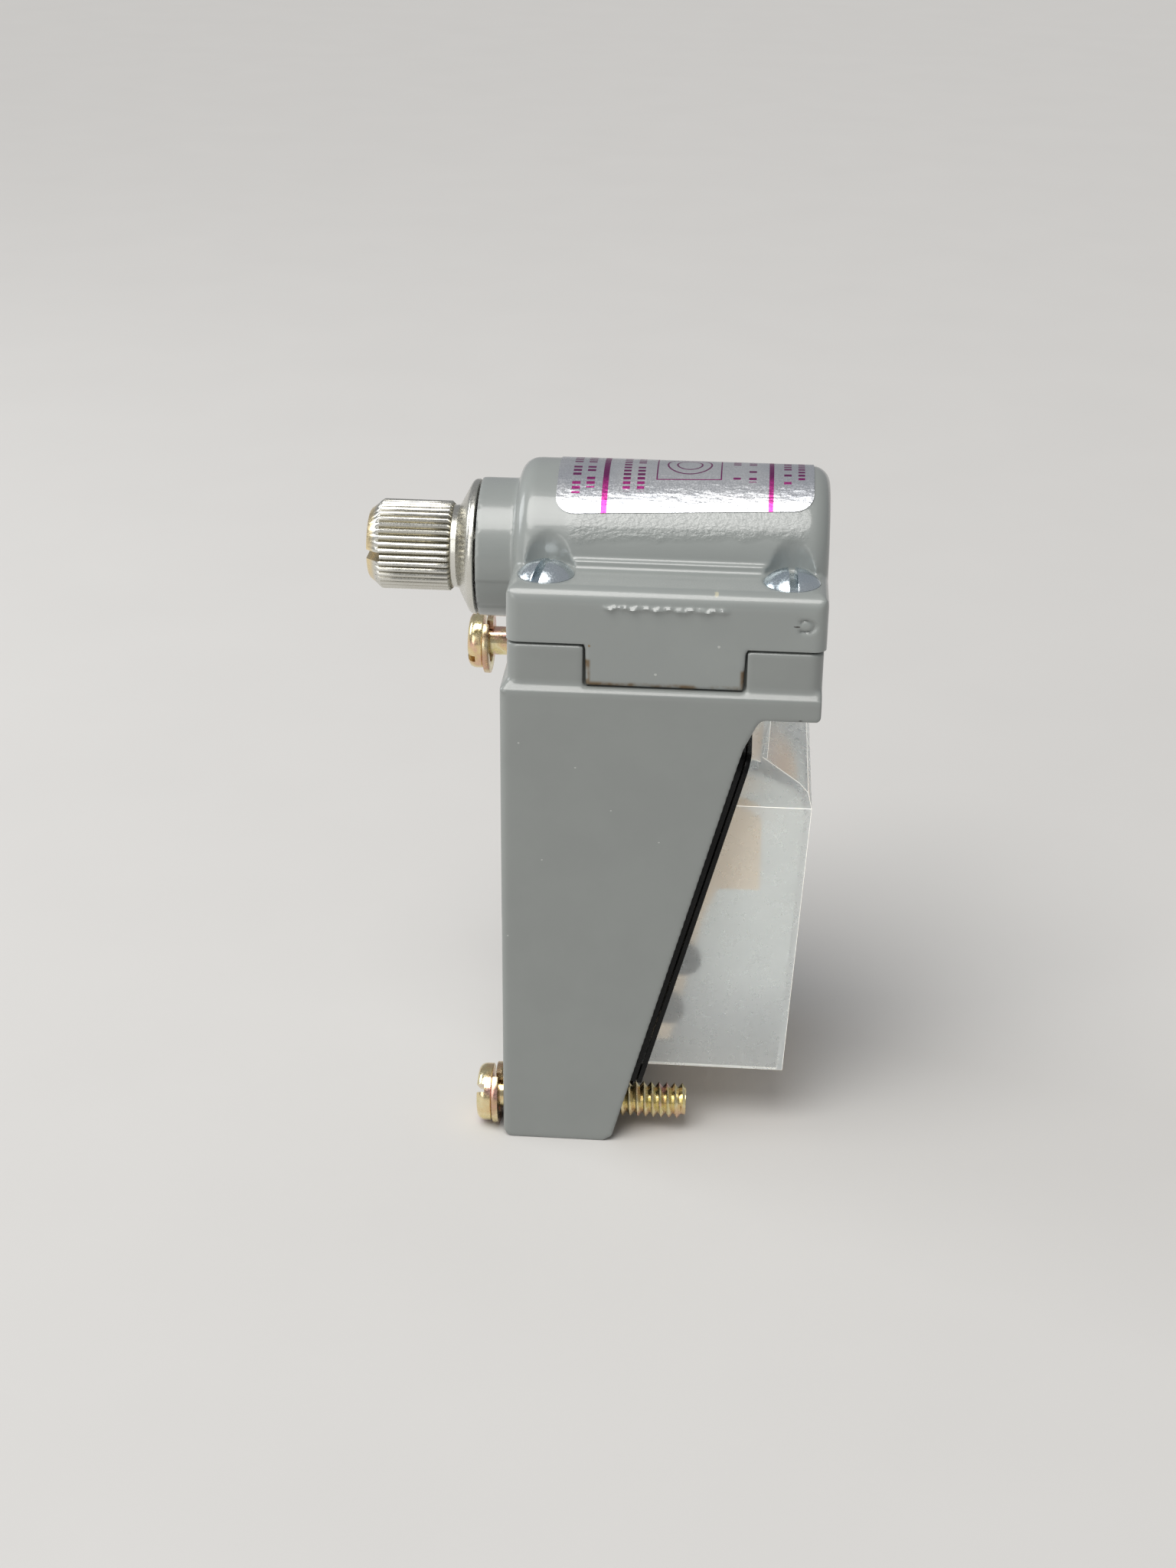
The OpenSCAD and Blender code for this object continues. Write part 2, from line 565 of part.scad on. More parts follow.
// Terminal screw places on both sides of the apron
module terminal_places() for (s = [0, 1], p = [[16.6, 24], [14.6, 16.4]])
    translate([0, p[0], p[1]]) mirror([s, 0, 0]) children();
module block_screw_places() for (x = [-8.2, 8.2]) translate([x, 0, mid_z + 8]) children();
module terminal_screws() color([0.35, 0.3, 0.26]) terminal_places() difference() {
    union() {
        cyl_x(3, 7.6, 1.3);
        cyl_x(10.1, 1.9, 2.2);
    }
    translate([12, 0, 0]) cube([1.4, 6, 0.8], center = true);
}
module block_screws() color([0.6, 0.6, 0.62]) block_screw_places() difference() {
    union() {
        cyl_y(front_y + 1.2, 6.8, 1.35);
        cyl_y(cavity_front + 5, 1.6, 2.3);
    }
    translate([0, cavity_front + 6.6, 0]) cube([6, 1.4, 0.8], center = true);
}
// Fixed contact on one side: a strip on the wall, a finger and a button
module fixed_contact(x_side, y, z, up) {
    u = up ? 1 : -1;
    mirror([x_side, 0, 0]) {
        translate([6.6, y - 1.5, z]) translate([0, 0, up ? 0 : -0.8]) cube([block_w_half - 2 - 6.6, 3, 0.8]);
        translate([block_w_half - 2.8, y - 1.5, up ? z : mid_z + deck_t])
            cube([0.8, 3, up ? block_top - deck_t - z : z - mid_z - deck_t]);
        translate([7.9, y, up ? z - 0.5 : z]) cylinder(h = 0.5, r = 1.3);
    }
}
module closed_contacts() color([0.78, 0.62, 0.3]) for (s = [0, 1], y = [cw_y, ccw_y])
    fixed_contact(s, y, bridge_z + 1.05 + contact_gap + 0.5, true);
module open_contacts() color([0.78, 0.62, 0.3]) for (s = [0, 1], y = [cw_y, ccw_y])
    fixed_contact(s, y, bridge_z - 1.05 - contact_gap - 0.5, false);

// Outer or inner form of the contact housing; inset is the wall thickness
module housing_form(inset) {
    hw = housing_w / 2 - inset;
    tw = tower_w / 2 - inset;
    z0 = inset > 0 ? housing_z0 - 1 : housing_z0;
    tower_z = plate_z - 0.3 - inset;
    roof_top = roof_z + 4.4;
    rear_low = housing_rear - inset;
    rear_high = rear_low + housing_flare;
    tower_rear = rear_low - tower_step;
    intersection() {
        along_x(-hw, 2 * hw) polygon([[rear_at(z0) - 2, z0], [rear_low, z0], [rear_high, roof_z - inset],
            [rear_high - 0.5, roof_z + 1.4 - inset], [rear_high - 1.6, roof_z + 2.2 - inset],
            [rear_high - 6.6, roof_top - inset], [rear_at(roof_top) - 2, roof_top - inset]]);
        along_y(-5, 50) polygon([[-hw, z0 - 1], [hw, z0 - 1], [hw, roof_z - inset * 0.6],
            [tw, roof_top - inset * 0.6], [-tw, roof_top - inset * 0.6], [-hw, roof_z - inset * 0.6]]);
    }
    along_x(-tw, 2 * tw) polygon([[rear_at(z0) - 2, z0], [tower_rear - 1, z0], [tower_rear - 0.6, roof_z],
        [tower_rear, tower_z], [rear_at(tower_z) + 1.8, tower_z], [rear_at(roof_z) - 2, roof_z]]);
}
module contact_housing() color([0.85, 0.88, 0.87, 0.6]) difference() {
    housing_form(0);
    housing_form(housing_t);
    // the front rim enters the gasket's opening, and the tower stands on the gasket
    on_slant() {
        translate([-50, -50, -50]) cube([100, 50.2, 200]);
        translate([-50, -50, mouth_top / cos(slant)]) cube([100, 50 + gasket_t + 0.4, 200]);
    }
}

// ---- captive mounting screws ----
module captive_screw(z, out) {
    y0 = front_y - front_lean - lock_washer_t - out;
    y1 = rear_at(z) + captive_reach - out;
    difference() {
        union() {
            lathe_y(concat([[0, y0 - captive_head_t], [captive_head_d / 2 - 1, y0 - captive_head_t],
                [captive_head_d / 2 - 0.3, y0 - captive_head_t + 0.5], [captive_head_d / 2, y0 - captive_head_t + 1.2],
                [captive_head_d / 2, y0], [captive_r - 0.4, y0], [captive_r - 0.4, y1 - captive_reach - 2],
                [captive_r, y1 - captive_reach - 1.6], [captive_r, y1 - 0.5], [captive_r - 0.5, y1], [0, y1]]));
        }
        translate([0, y0 - captive_head_t, 0]) rotate([0, 20, 0]) cube([20, 2.2, 1.1], center = true);
    }
}
module lock_washer(out) {
    y0 = front_y - front_lean - lock_washer_t - out;
    difference() {
        cyl_y(y0, lock_washer_t - 0.02, captive_wash_r);
        cyl_y(y0 - 1, 4, captive_r + 0.1);
        translate([0, y0, captive_wash_r - 1]) rotate([0, 0, 25]) cube([0.5, 6, 3], center = true);
    }
}
module upper_screw() color([0.75, 0.65, 0.4]) translate([-captive_x, 0, upper_screw_z])
    captive_screw(upper_screw_z, backed_out);
module lower_screw() color([0.75, 0.65, 0.4]) translate([captive_x, 0, lower_screw_z])
    captive_screw(lower_screw_z, 0);
module upper_lock_washer() color([0.6, 0.45, 0.35]) translate([-captive_x, 0, upper_screw_z]) lock_washer(backed_out);
module lower_lock_washer() color([0.6, 0.45, 0.35]) translate([captive_x, 0, lower_screw_z]) lock_washer(0);

body_casting();
body_gasket();
head_gasket();
head_housing();
head_label();
head_screws();
front_bushing();
rear_bushing();
shaft_seal();
operating_shaft();
shaft_clip();
cw_cam();
ccw_cam();
cam_pins();
return_spring();
spring_collar();
pin_guide();
cw_pin();
ccw_pin();
cw_plunger();
ccw_plunger();
plunger_seals();
cw_bridge();
ccw_bridge();
cw_plunger_spring();
ccw_plunger_spring();
contact_block();
closed_contacts();
open_contacts();
terminal_screws();
block_screws();
contact_housing();
upper_screw();
lower_screw();
upper_lock_washer();
lower_lock_washer();
front_plate();
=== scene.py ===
"""Looks of a plug-in limit switch with a rotary turret head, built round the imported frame.

The frame's solids fix every size and place. Each sub-assembly is a class: it builds the
detailed pieces that stand for its plain solids, and it dresses the solids that stay.
All lengths are in metres; +Z is up and the operating shaft points along -Y.
"""

import json
import logging
import math
from dataclasses import dataclass, field
from enum import Enum
from functools import lru_cache
from typing import Callable, Sequence

import bmesh
import bpy
import numpy as np
from mathutils import Matrix, Vector


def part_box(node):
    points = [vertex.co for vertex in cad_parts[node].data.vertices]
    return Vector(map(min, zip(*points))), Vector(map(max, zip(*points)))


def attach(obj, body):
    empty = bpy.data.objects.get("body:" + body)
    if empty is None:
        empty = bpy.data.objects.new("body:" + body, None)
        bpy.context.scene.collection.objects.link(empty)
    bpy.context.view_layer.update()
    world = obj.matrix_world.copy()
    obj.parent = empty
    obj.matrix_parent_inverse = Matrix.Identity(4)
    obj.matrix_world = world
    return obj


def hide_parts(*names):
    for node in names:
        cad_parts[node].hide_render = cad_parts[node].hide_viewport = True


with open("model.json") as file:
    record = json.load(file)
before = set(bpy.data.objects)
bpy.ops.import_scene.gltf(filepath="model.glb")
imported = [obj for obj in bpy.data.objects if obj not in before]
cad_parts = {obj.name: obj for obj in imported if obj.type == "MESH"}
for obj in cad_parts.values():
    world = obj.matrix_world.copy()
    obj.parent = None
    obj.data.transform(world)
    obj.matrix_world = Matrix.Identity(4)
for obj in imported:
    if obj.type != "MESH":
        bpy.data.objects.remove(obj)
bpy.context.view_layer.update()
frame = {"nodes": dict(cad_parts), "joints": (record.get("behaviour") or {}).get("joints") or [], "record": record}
LOG = logging.getLogger("limit_switch")

MM = 0.001
SLANT = math.radians(15)  # lean of the body's rear face
ALONG_Y = Matrix.Rotation(math.radians(-90), 4, "X")  # turns a lathe's +Z to +Y
Colour = tuple[float, float, float]
Point = tuple[float, float]
Socket = bpy.types.NodeSocket
Node = bpy.types.Node
Tree = bpy.types.NodeTree
Mesh = bmesh.types.BMesh
Piece = bpy.types.Object


class Slot(Enum):
    """The record's material slots."""

    ENAMEL = "grey_enamel"
    FOIL = "foil"
    ZINC = "bright_zinc"
    PLATED = "plated_steel"
    CHROMATE = "yellow_chromate"
    WASHER = "washer_chromate"
    RUBBER = "black_rubber"
    GASKET_SHEET = "gasket_sheet"
    BRONZE = "sintered_bronze"
    SPRING = "spring_steel"
    SINTERED = "sintered_steel"
    BLACK_PLASTIC = "black_plastic"
    RED_PLASTIC = "red_plastic"
    PHENOLIC = "tan_phenolic"
    COPPER = "contact_copper"
    BRASS = "contact_brass"
    DARK_SCREW = "dark_screw"
    MILKY = "milky_plastic"
    PLATE = "plate_metal"


# ---------------------------------------------------------------- shader nodes


class Sheet:
    """A short way to write a node tree: every method returns an output socket."""

    def __init__(self, tree: Tree) -> None:
        """Keeps the tree that the nodes go into."""
        self.tree = tree

    def node(self, kind: str, **settings: object) -> Node:
        """Adds a node.

        Args:
            kind: The node's type name.
            settings: Attributes to set on it.

        Returns:
            The new node.
        """
        node = self.tree.nodes.new(kind)
        for name, value in settings.items():
            setattr(node, name, value)
        return node

    def feed(self, socket: Socket, value: object) -> None:
        """Links an output to a socket, or sets a plain value on it.

        Args:
            socket: The input to feed.
            value: An output socket, or a number, colour or vector.
        """
        if isinstance(value, Socket):
            self.tree.links.new(value, socket)
            return
        if socket.type == "RGBA" and len(value) == 3:
            value = (*value, 1.0)
        socket.default_value = value

    def math(self, operation: str, *values: object, clamp: bool = False) -> Socket:
        """Adds a Math node.

        Args:
            operation: The node's operation.
            values: One to three inputs.
            clamp: Whether the result is held between 0 and 1.

        Returns:
            The result.
        """
        node = self.node("ShaderNodeMath", operation=operation, use_clamp=clamp)
        for socket, value in zip(node.inputs, values):
            self.feed(socket, value)
        return node.outputs[0]

    def axes(self, vector: Socket) -> list[Socket]:
        """Splits a vector into its X, Y and Z."""
        node = self.node("ShaderNodeSeparateXYZ")
        self.feed(node.inputs[0], vector)
        return list(node.outputs)

    def vector(self, x: object, y: object, z: object) -> Socket:
        """Joins X, Y and Z into a vector."""
        node = self.node("ShaderNodeCombineXYZ")
        for socket, value in zip(node.inputs, (x, y, z)):
            self.feed(socket, value)
        return node.outputs[0]

    def scaled(self, vector: Socket, scale: Sequence[float]) -> Socket:
        """Stretches coordinates through a Mapping node."""
        node = self.node("ShaderNodeMapping")
        self.feed(node.inputs["Vector"], vector)
        node.inputs["Scale"].default_value = scale
        return node.outputs[0]

    def noise(self, vector: Socket, scale: object, detail: float = 2.0) -> Socket:
        """Adds a noise texture and returns its factor."""
        node = self.node("ShaderNodeTexNoise")
        self.feed(node.inputs["Vector"], vector)
        self.feed(node.inputs["Scale"], scale)
        self.feed(node.inputs["Detail"], detail)
        return node.outputs["Fac"]

    def span(self, value: object, low: float, high: float) -> Socket:
        """Rises smoothly from 0 at low to 1 at high."""
        node = self.node("ShaderNodeMapRange", interpolation_type="SMOOTHSTEP")
        for name, number in (("Value", value), ("From Min", low), ("From Max", high)):
            self.feed(node.inputs[name], number)
        return node.outputs[0]

    def band(self, value: object, low: float, high: float, soft: float) -> Socket:
        """1 between low and high, falling to 0 over the soft width outside them."""
        rise = self.span(value, low - soft, low)
        fall = self.span(value, high, high + soft)
        return self.math("SUBTRACT", rise, fall, clamp=True)

    def mix(self, factor: object, first: object, second: object, blend: str = "MIX") -> Socket:
        """Mixes two colours.

        Args:
            factor: Share of the second colour.
            first: The first colour.
            second: The second colour.
            blend: The node's blend mode.

        Returns:
            The mixed colour.
        """
        node = self.node("ShaderNodeMix", data_type="RGBA", blend_type=blend)
        self.feed(node.inputs[0], factor)
        self.feed(node.inputs[6], first)
        self.feed(node.inputs[7], second)
        return node.outputs[2]

    def ramp(self, factor: object, stops: Sequence[tuple[float, Colour]]) -> Socket:
        """Adds a colour ramp with the given stops."""
        node = self.node("ShaderNodeValToRGB")
        self.feed(node.inputs[0], factor)
        elements = node.color_ramp.elements
        while len(elements) < len(stops):
            elements.new(0.5)
        for element, (place, colour) in zip(elements, stops):
            element.position = place
            element.color = (*colour, 1.0)
        return node.outputs[0]

    def group(self, tree: Tree, **values: object) -> Node:
        """Places a node group.

        Args:
            tree: The group.
            values: Its inputs, with underscores for spaces.

        Returns:
            The group node.
        """
        node = self.node("ShaderNodeGroup", node_tree=tree)
        for name, value in values.items():
            self.feed(node.inputs[name.replace("_", " ")], value)
        return node


def new_group(name: str, inputs: dict[str, str], outputs: dict[str, str]) -> tuple:
    """Starts a shader node group.

    Args:
        name: The group's name.
        inputs: Socket names and their types.
        outputs: Socket names and their types.

    Returns:
        The group, its sheet, its input sockets by name and its output node.
    """
    tree = bpy.data.node_groups.new(name, "ShaderNodeTree")
    for title, kind in inputs.items():
        tree.interface.new_socket(title, in_out="INPUT", socket_type=kind)
    for title, kind in outputs.items():
        tree.interface.new_socket(title, in_out="OUTPUT", socket_type=kind)
    sheet = Sheet(tree)
    given = sheet.node("NodeGroupInput").outputs
    return tree, sheet, {title: given[title] for title in inputs}, sheet.node("NodeGroupOutput")


VECTOR, FLOAT, COLOUR = "NodeSocketVector", "NodeSocketFloat", "NodeSocketColor"


@lru_cache(maxsize=None)
def skin_group() -> Tree:
    """A painted, moulded or plated skin: peel of two scales, and a mottled tone.

    Returns:
        The group, with outputs Height, Tone and Cloud.
    """
    tree, sheet, given, out = new_group(
        "surface_skin",
        {"Position": VECTOR, "Peel": FLOAT, "Grain": FLOAT, "Blotch": FLOAT},
        {"Height": FLOAT, "Tone": FLOAT, "Cloud": FLOAT},
    )
    peel = sheet.noise(given["Position"], given["Peel"], 1.0)
    grain = sheet.noise(given["Position"], given["Grain"], 3.0)
    cloud = sheet.noise(given["Position"], given["Blotch"], 3.0)
    height = sheet.math("ADD", sheet.math("MULTIPLY", peel, 0.75), sheet.math("MULTIPLY", grain, 0.25))
    sheet.feed(out.inputs["Height"], height)
    sheet.feed(out.inputs["Tone"], sheet.span(grain, 0.35, 0.65))
    sheet.feed(out.inputs["Cloud"], sheet.span(cloud, 0.35, 0.65))
    return tree


@lru_cache(maxsize=None)
def spot_group() -> Tree:
    """A small ragged spot of another colour, such as a nib, a chip or a smear.

    Returns:
        The group, with outputs Colour and Mask.
    """
    tree, sheet, given, out = new_group(
        "ragged_spot",
        {"Position": VECTOR, "Colour": COLOUR, "Centre": VECTOR, "Reach": VECTOR, "Paint": COLOUR},
        {"Colour": COLOUR, "Mask": FLOAT},
    )
    away = sheet.node("ShaderNodeVectorMath", operation="SUBTRACT")
    sheet.feed(away.inputs[0], given["Position"])
    sheet.feed(away.inputs[1], given["Centre"])
    share = sheet.node("ShaderNodeVectorMath", operation="DIVIDE")
    sheet.feed(share.inputs[0], away.outputs[0])
    sheet.feed(share.inputs[1], given["Reach"])
    length = sheet.node("ShaderNodeVectorMath", operation="LENGTH")
    sheet.feed(length.inputs[0], share.outputs[0])
    ragged = sheet.math("ADD", length.outputs["Value"], sheet.noise(given["Position"], 3500.0))
    mask = sheet.math("SUBTRACT", 1.0, sheet.span(ragged, 1.1, 1.45), clamp=True)
    sheet.feed(out.inputs["Colour"], sheet.mix(mask, given["Colour"], given["Paint"]))
    sheet.feed(out.inputs["Mask"], mask)
    return tree


@lru_cache(maxsize=None)
def grime_group() -> Tree:
    """Dirt that settles in patches where its mask lets it.

    Returns:
        The group, with outputs Colour and Mask.
    """
    tree, sheet, given, out = new_group(
        "settled_grime",
        {"Position": VECTOR, "Colour": COLOUR, "Dirt": COLOUR, "Place": FLOAT, "Scale": FLOAT},
        {"Colour": COLOUR, "Mask": FLOAT},
    )
    patches = sheet.span(sheet.noise(given["Position"], given["Scale"], 4.0), 0.38, 0.62)
    mask = sheet.math("MULTIPLY", patches, given["Place"], clamp=True)
    sheet.feed(out.inputs["Colour"], sheet.mix(mask, given["Colour"], given["Dirt"]))
    sheet.feed(out.inputs["Mask"], mask)
    return tree


# -------------------------------------------------------------------- finishes


@dataclass(frozen=True)
class Spot:
    """A small mark on a painted face."""

    centre: tuple[float, float, float]
    reach: tuple[float, float, float]
    paint: Colour


@dataclass(frozen=True)
class Finish:
    """A plain finish: one tone, a second tone in clouds, and a fine skin.

    Attributes:
        slot: The record's slot that it belongs to.
        tone: Main colour.
        shade: Colour of the clouds.
        metal: Metallic value.
        gloss: Roughness at its smoothest and roughest.
        peel: Size of the coarse skin, as a noise scale.
        grain: Size of the fine skin, as a noise scale.
        relief: Height of the skin.
        specular: Specular level.
        coat: Coat weight.
        clear: Transmission weight.
        glow: Strength of its emission, which is painted light: the piece glows in its own tone though it is no
            lamp.
    """

    slot: Slot
    tone: Colour
    shade: Colour
    metal: float = 0.0
    gloss: Point = (0.35, 0.5)
    peel: float = 900.0
    grain: float = 4000.0
    blotch: float = 120.0
    relief: float = 0.00001
    specular: float = 0.5
    coat: float = 0.0
    clear: float = 0.0
    glow: float = 0.0
    suffix: str = ""

    def colour(self, sheet: Sheet, place: Socket, skin: Node) -> Socket:
        """Works out the surface's colour.

        Args:
            sheet: Where the nodes go.
            place: Object coordinates.
            skin: The skin group node.

        Returns:
            The colour.
        """
        return sheet.mix(skin.outputs["Cloud"], self.tone, self.shade)

    def height(self, sheet: Sheet, place: Socket, skin: Node) -> Socket:
        """Works out the height for the bump, from 0 to 1."""
        return skin.outputs["Height"]

    def roughness(self, sheet: Sheet, place: Socket, skin: Node) -> Socket:
        """Works out the roughness, which follows the fine tone."""
        low, high = self.gloss
        return sheet.math("MULTIPLY_ADD", skin.outputs["Tone"], high - low, low)

    def material(self) -> bpy.types.Material:
        """Builds the material once, and returns it."""
        name = "look_" + self.slot.value + self.suffix
        if name in bpy.data.materials:
            return bpy.data.materials[name]
        made = bpy.data.materials.new(name)
        made.use_nodes = True
        sheet = Sheet(made.node_tree)
        shader = made.node_tree.nodes["Principled BSDF"]
        place = sheet.node("ShaderNodeTexCoord").outputs["Object"]
        skin = sheet.group(skin_group(), Position=place, Peel=self.peel, Grain=self.grain, Blotch=self.blotch)
        bump = sheet.node("ShaderNodeBump")
        bump.inputs["Strength"].default_value = 1.0
        bump.inputs["Distance"].default_value = self.relief
        sheet.feed(bump.inputs["Height"], self.height(sheet, place, skin))
        sheet.feed(shader.inputs["Base Color"], self.colour(sheet, place, skin))
        sheet.feed(shader.inputs["Roughness"], self.roughness(sheet, place, skin))
        sheet.feed(shader.inputs["Normal"], bump.outputs[0])
        shader.inputs["Metallic"].default_value = self.metal
        shader.inputs["Specular IOR Level"].default_value = self.specular
        shader.inputs["Coat Weight"].default_value = self.coat
        shader.inputs["Coat Roughness"].default_value = 0.12
        shader.inputs["Transmission Weight"].default_value = self.clear
        shader.inputs["IOR"].default_value = 1.49
        # Emission is painted light: with a glow above zero the piece gives off light in its own tone.
        shader.inputs["Emission Color"].default_value = (*self.tone, 1.0)
        shader.inputs["Emission Strength"].default_value = self.glow
        return made


@dataclass(frozen=True)
class Enamel(Finish):
    """Grey enamel over a die casting, with nibs, chips and grime in its corners."""

    spots: tuple[Spot, ...] = ()
    dirt_edges: tuple[tuple[float, float, float, float], ...] = ()

    def colour(self, sheet: Sheet, place: Socket, skin: Node) -> Socket:
        """Lays spots and grime over the enamel's tone."""
        tint = sheet.mix(skin.outputs["Cloud"], self.tone, self.shade)
        across, along, up = sheet.axes(place)
        for low_y, high_y, low_z, high_z in self.dirt_edges:
            near = sheet.band(along, low_y, high_y, 0.4 * MM)
            level = sheet.band(up, low_z, high_z, 0.5 * MM)
            where = sheet.math("MULTIPLY", near, level)
            grime = sheet.group(
                grime_group(), Position=place, Colour=tint, Dirt=(0.12, 0.075, 0.03), Place=where, Scale=420.0
            )
            tint = grime.outputs["Colour"]
        for spot in self.spots:
            mark = sheet.group(
                spot_group(), Position=place, Colour=tint, Centre=spot.centre, Reach=spot.reach,
                Paint=spot.paint,
            )
            tint = mark.outputs["Colour"]
        return tint


@dataclass(frozen=True)
class HeadEnamel(Enamel):
    """Head enamel, with a clear lacquer run below the label on its near side."""

    axis_z: float = 0.0775
    label_edge: float = math.radians(45)
    run_reach: float = math.radians(21)
    run_y: Point = (0.0015, 0.0285)
    skew: float = math.radians(7.2)
    label_middle: float = 0.0144
    label_length: float = 0.0324

    def lacquer(self, sheet: Sheet, place: Socket) -> Socket:
        """Masks the lacquer, which ends in a wavy edge."""
        across, along, up = sheet.axes(place)
        angle = sheet.math("ARCTAN2", across, sheet.math("SUBTRACT", up, self.axis_z))
        wave = sheet.math("MULTIPLY", sheet.noise(sheet.vector(0.0, along, 0.0), 190.0, 2.0), 0.22)
        off_middle = sheet.math("SUBTRACT", along, self.label_middle)
        slip = sheet.math("MULTIPLY", off_middle, self.skew / self.label_length)
        edge = sheet.math("ADD", sheet.math("ADD", angle, wave), slip)
        limit = self.label_edge + self.run_reach
        around = sheet.band(edge, self.label_edge - 0.1, limit, 0.09)
        return sheet.math("MULTIPLY", around, sheet.band(along, *self.run_y, 2.5 * MM))

    def height(self, sheet: Sheet, place: Socket, skin: Node) -> Socket:
        """Raises the lacquer, and crinkles it."""
        mask = self.lacquer(sheet, place)
        crinkle = sheet.noise(sheet.scaled(place, (2600.0, 1700.0, 2600.0)), 1.0, 4.0)
        raised = sheet.math("MULTIPLY", mask, sheet.math("MULTIPLY_ADD", crinkle, 7.0, 0.6))
        return sheet.math("ADD", skin.outputs["Height"], raised)

    def roughness(self, sheet: Sheet, place: Socket, skin: Node) -> Socket:
        """Makes the lacquer glossier than the enamel."""
        low, high = self.gloss
        plain = sheet.math("MULTIPLY_ADD", skin.outputs["Tone"], high - low, low)
        return sheet.math("MULTIPLY_ADD", self.lacquer(sheet, place), -0.20, plain, clamp=True)


@dataclass(frozen=True)
class Chromate(Finish):
    """Zinc under a chromate film that shifts from yellow through pink to green."""

    def colour(self, sheet: Sheet, place: Socket, skin: Node) -> Socket:
        """Follows the film's thickness with a ramp of its colours."""
        film = sheet.noise(place, 260.0, 3.0)
        hues = sheet.ramp(
            film,
            ((0.36, (0.72, 0.42, 0.36)), (0.45, self.tone), (0.55, (0.86, 0.78, 0.50)),
             (0.62, (0.74, 0.66, 0.32)), (0.70, self.shade)),
        )
        return sheet.mix(sheet.math("MULTIPLY", skin.outputs["Cloud"], 0.35), hues, self.tone)


@dataclass(frozen=True)
class Turned(Finish):
    """Turned and plated steel, with fine tool marks round the Y axis and a warmer tip."""

    warm_end: float = -1.0
    warm: Colour = (0.80, 0.66, 0.40)
    axis_z: float = 0.0
    crest: float = 0.0
    depth: float = 1.0
    band_end: float = -1.0
    # Colour of the painted shade in the serration valleys.
    valley: Colour = (0.27, 0.25, 0.19)

    def colour(self, sheet: Sheet, place: Socket, skin: Node) -> Socket:
        """Darkens the valleys of the serrations with painted shade, and warms the plating towards the tip."""
        tint = sheet.mix(skin.outputs["Cloud"], self.tone, self.shade)
        across, along, up = sheet.axes(place)
        flat = sheet.vector(across, sheet.math("SUBTRACT", up, self.axis_z), 0.0)
        away = sheet.node("ShaderNodeVectorMath", operation="LENGTH")
        sheet.feed(away.inputs[0], flat)
        shallow = sheet.span(away.outputs["Value"], self.crest - self.depth, self.crest)
        deep = sheet.math("SUBTRACT", 1.0, shallow)
        band = sheet.band(along, self.warm_end + 1.4 * MM, self.band_end, 0.1 * MM)
        # Painted shade: the serration valleys are darkened by depth.
        tint = sheet.mix(sheet.math("MULTIPLY", deep, band), tint, self.valley)
        tip = sheet.math("SUBTRACT", 1.0, sheet.span(along, self.warm_end, self.warm_end + 0.9 * MM))
        return sheet.mix(tip, tint, self.warm)

    def height(self, sheet: Sheet, place: Socket, skin: Node) -> Socket:
        """Adds tool marks to the skin."""
        along = sheet.axes(place)[1]
        marks = sheet.noise(sheet.vector(0.0, sheet.math("MULTIPLY", along, 9000.0), 0.0), 1.0, 3.0)
        return sheet.math("ADD", skin.outputs["Height"], marks)


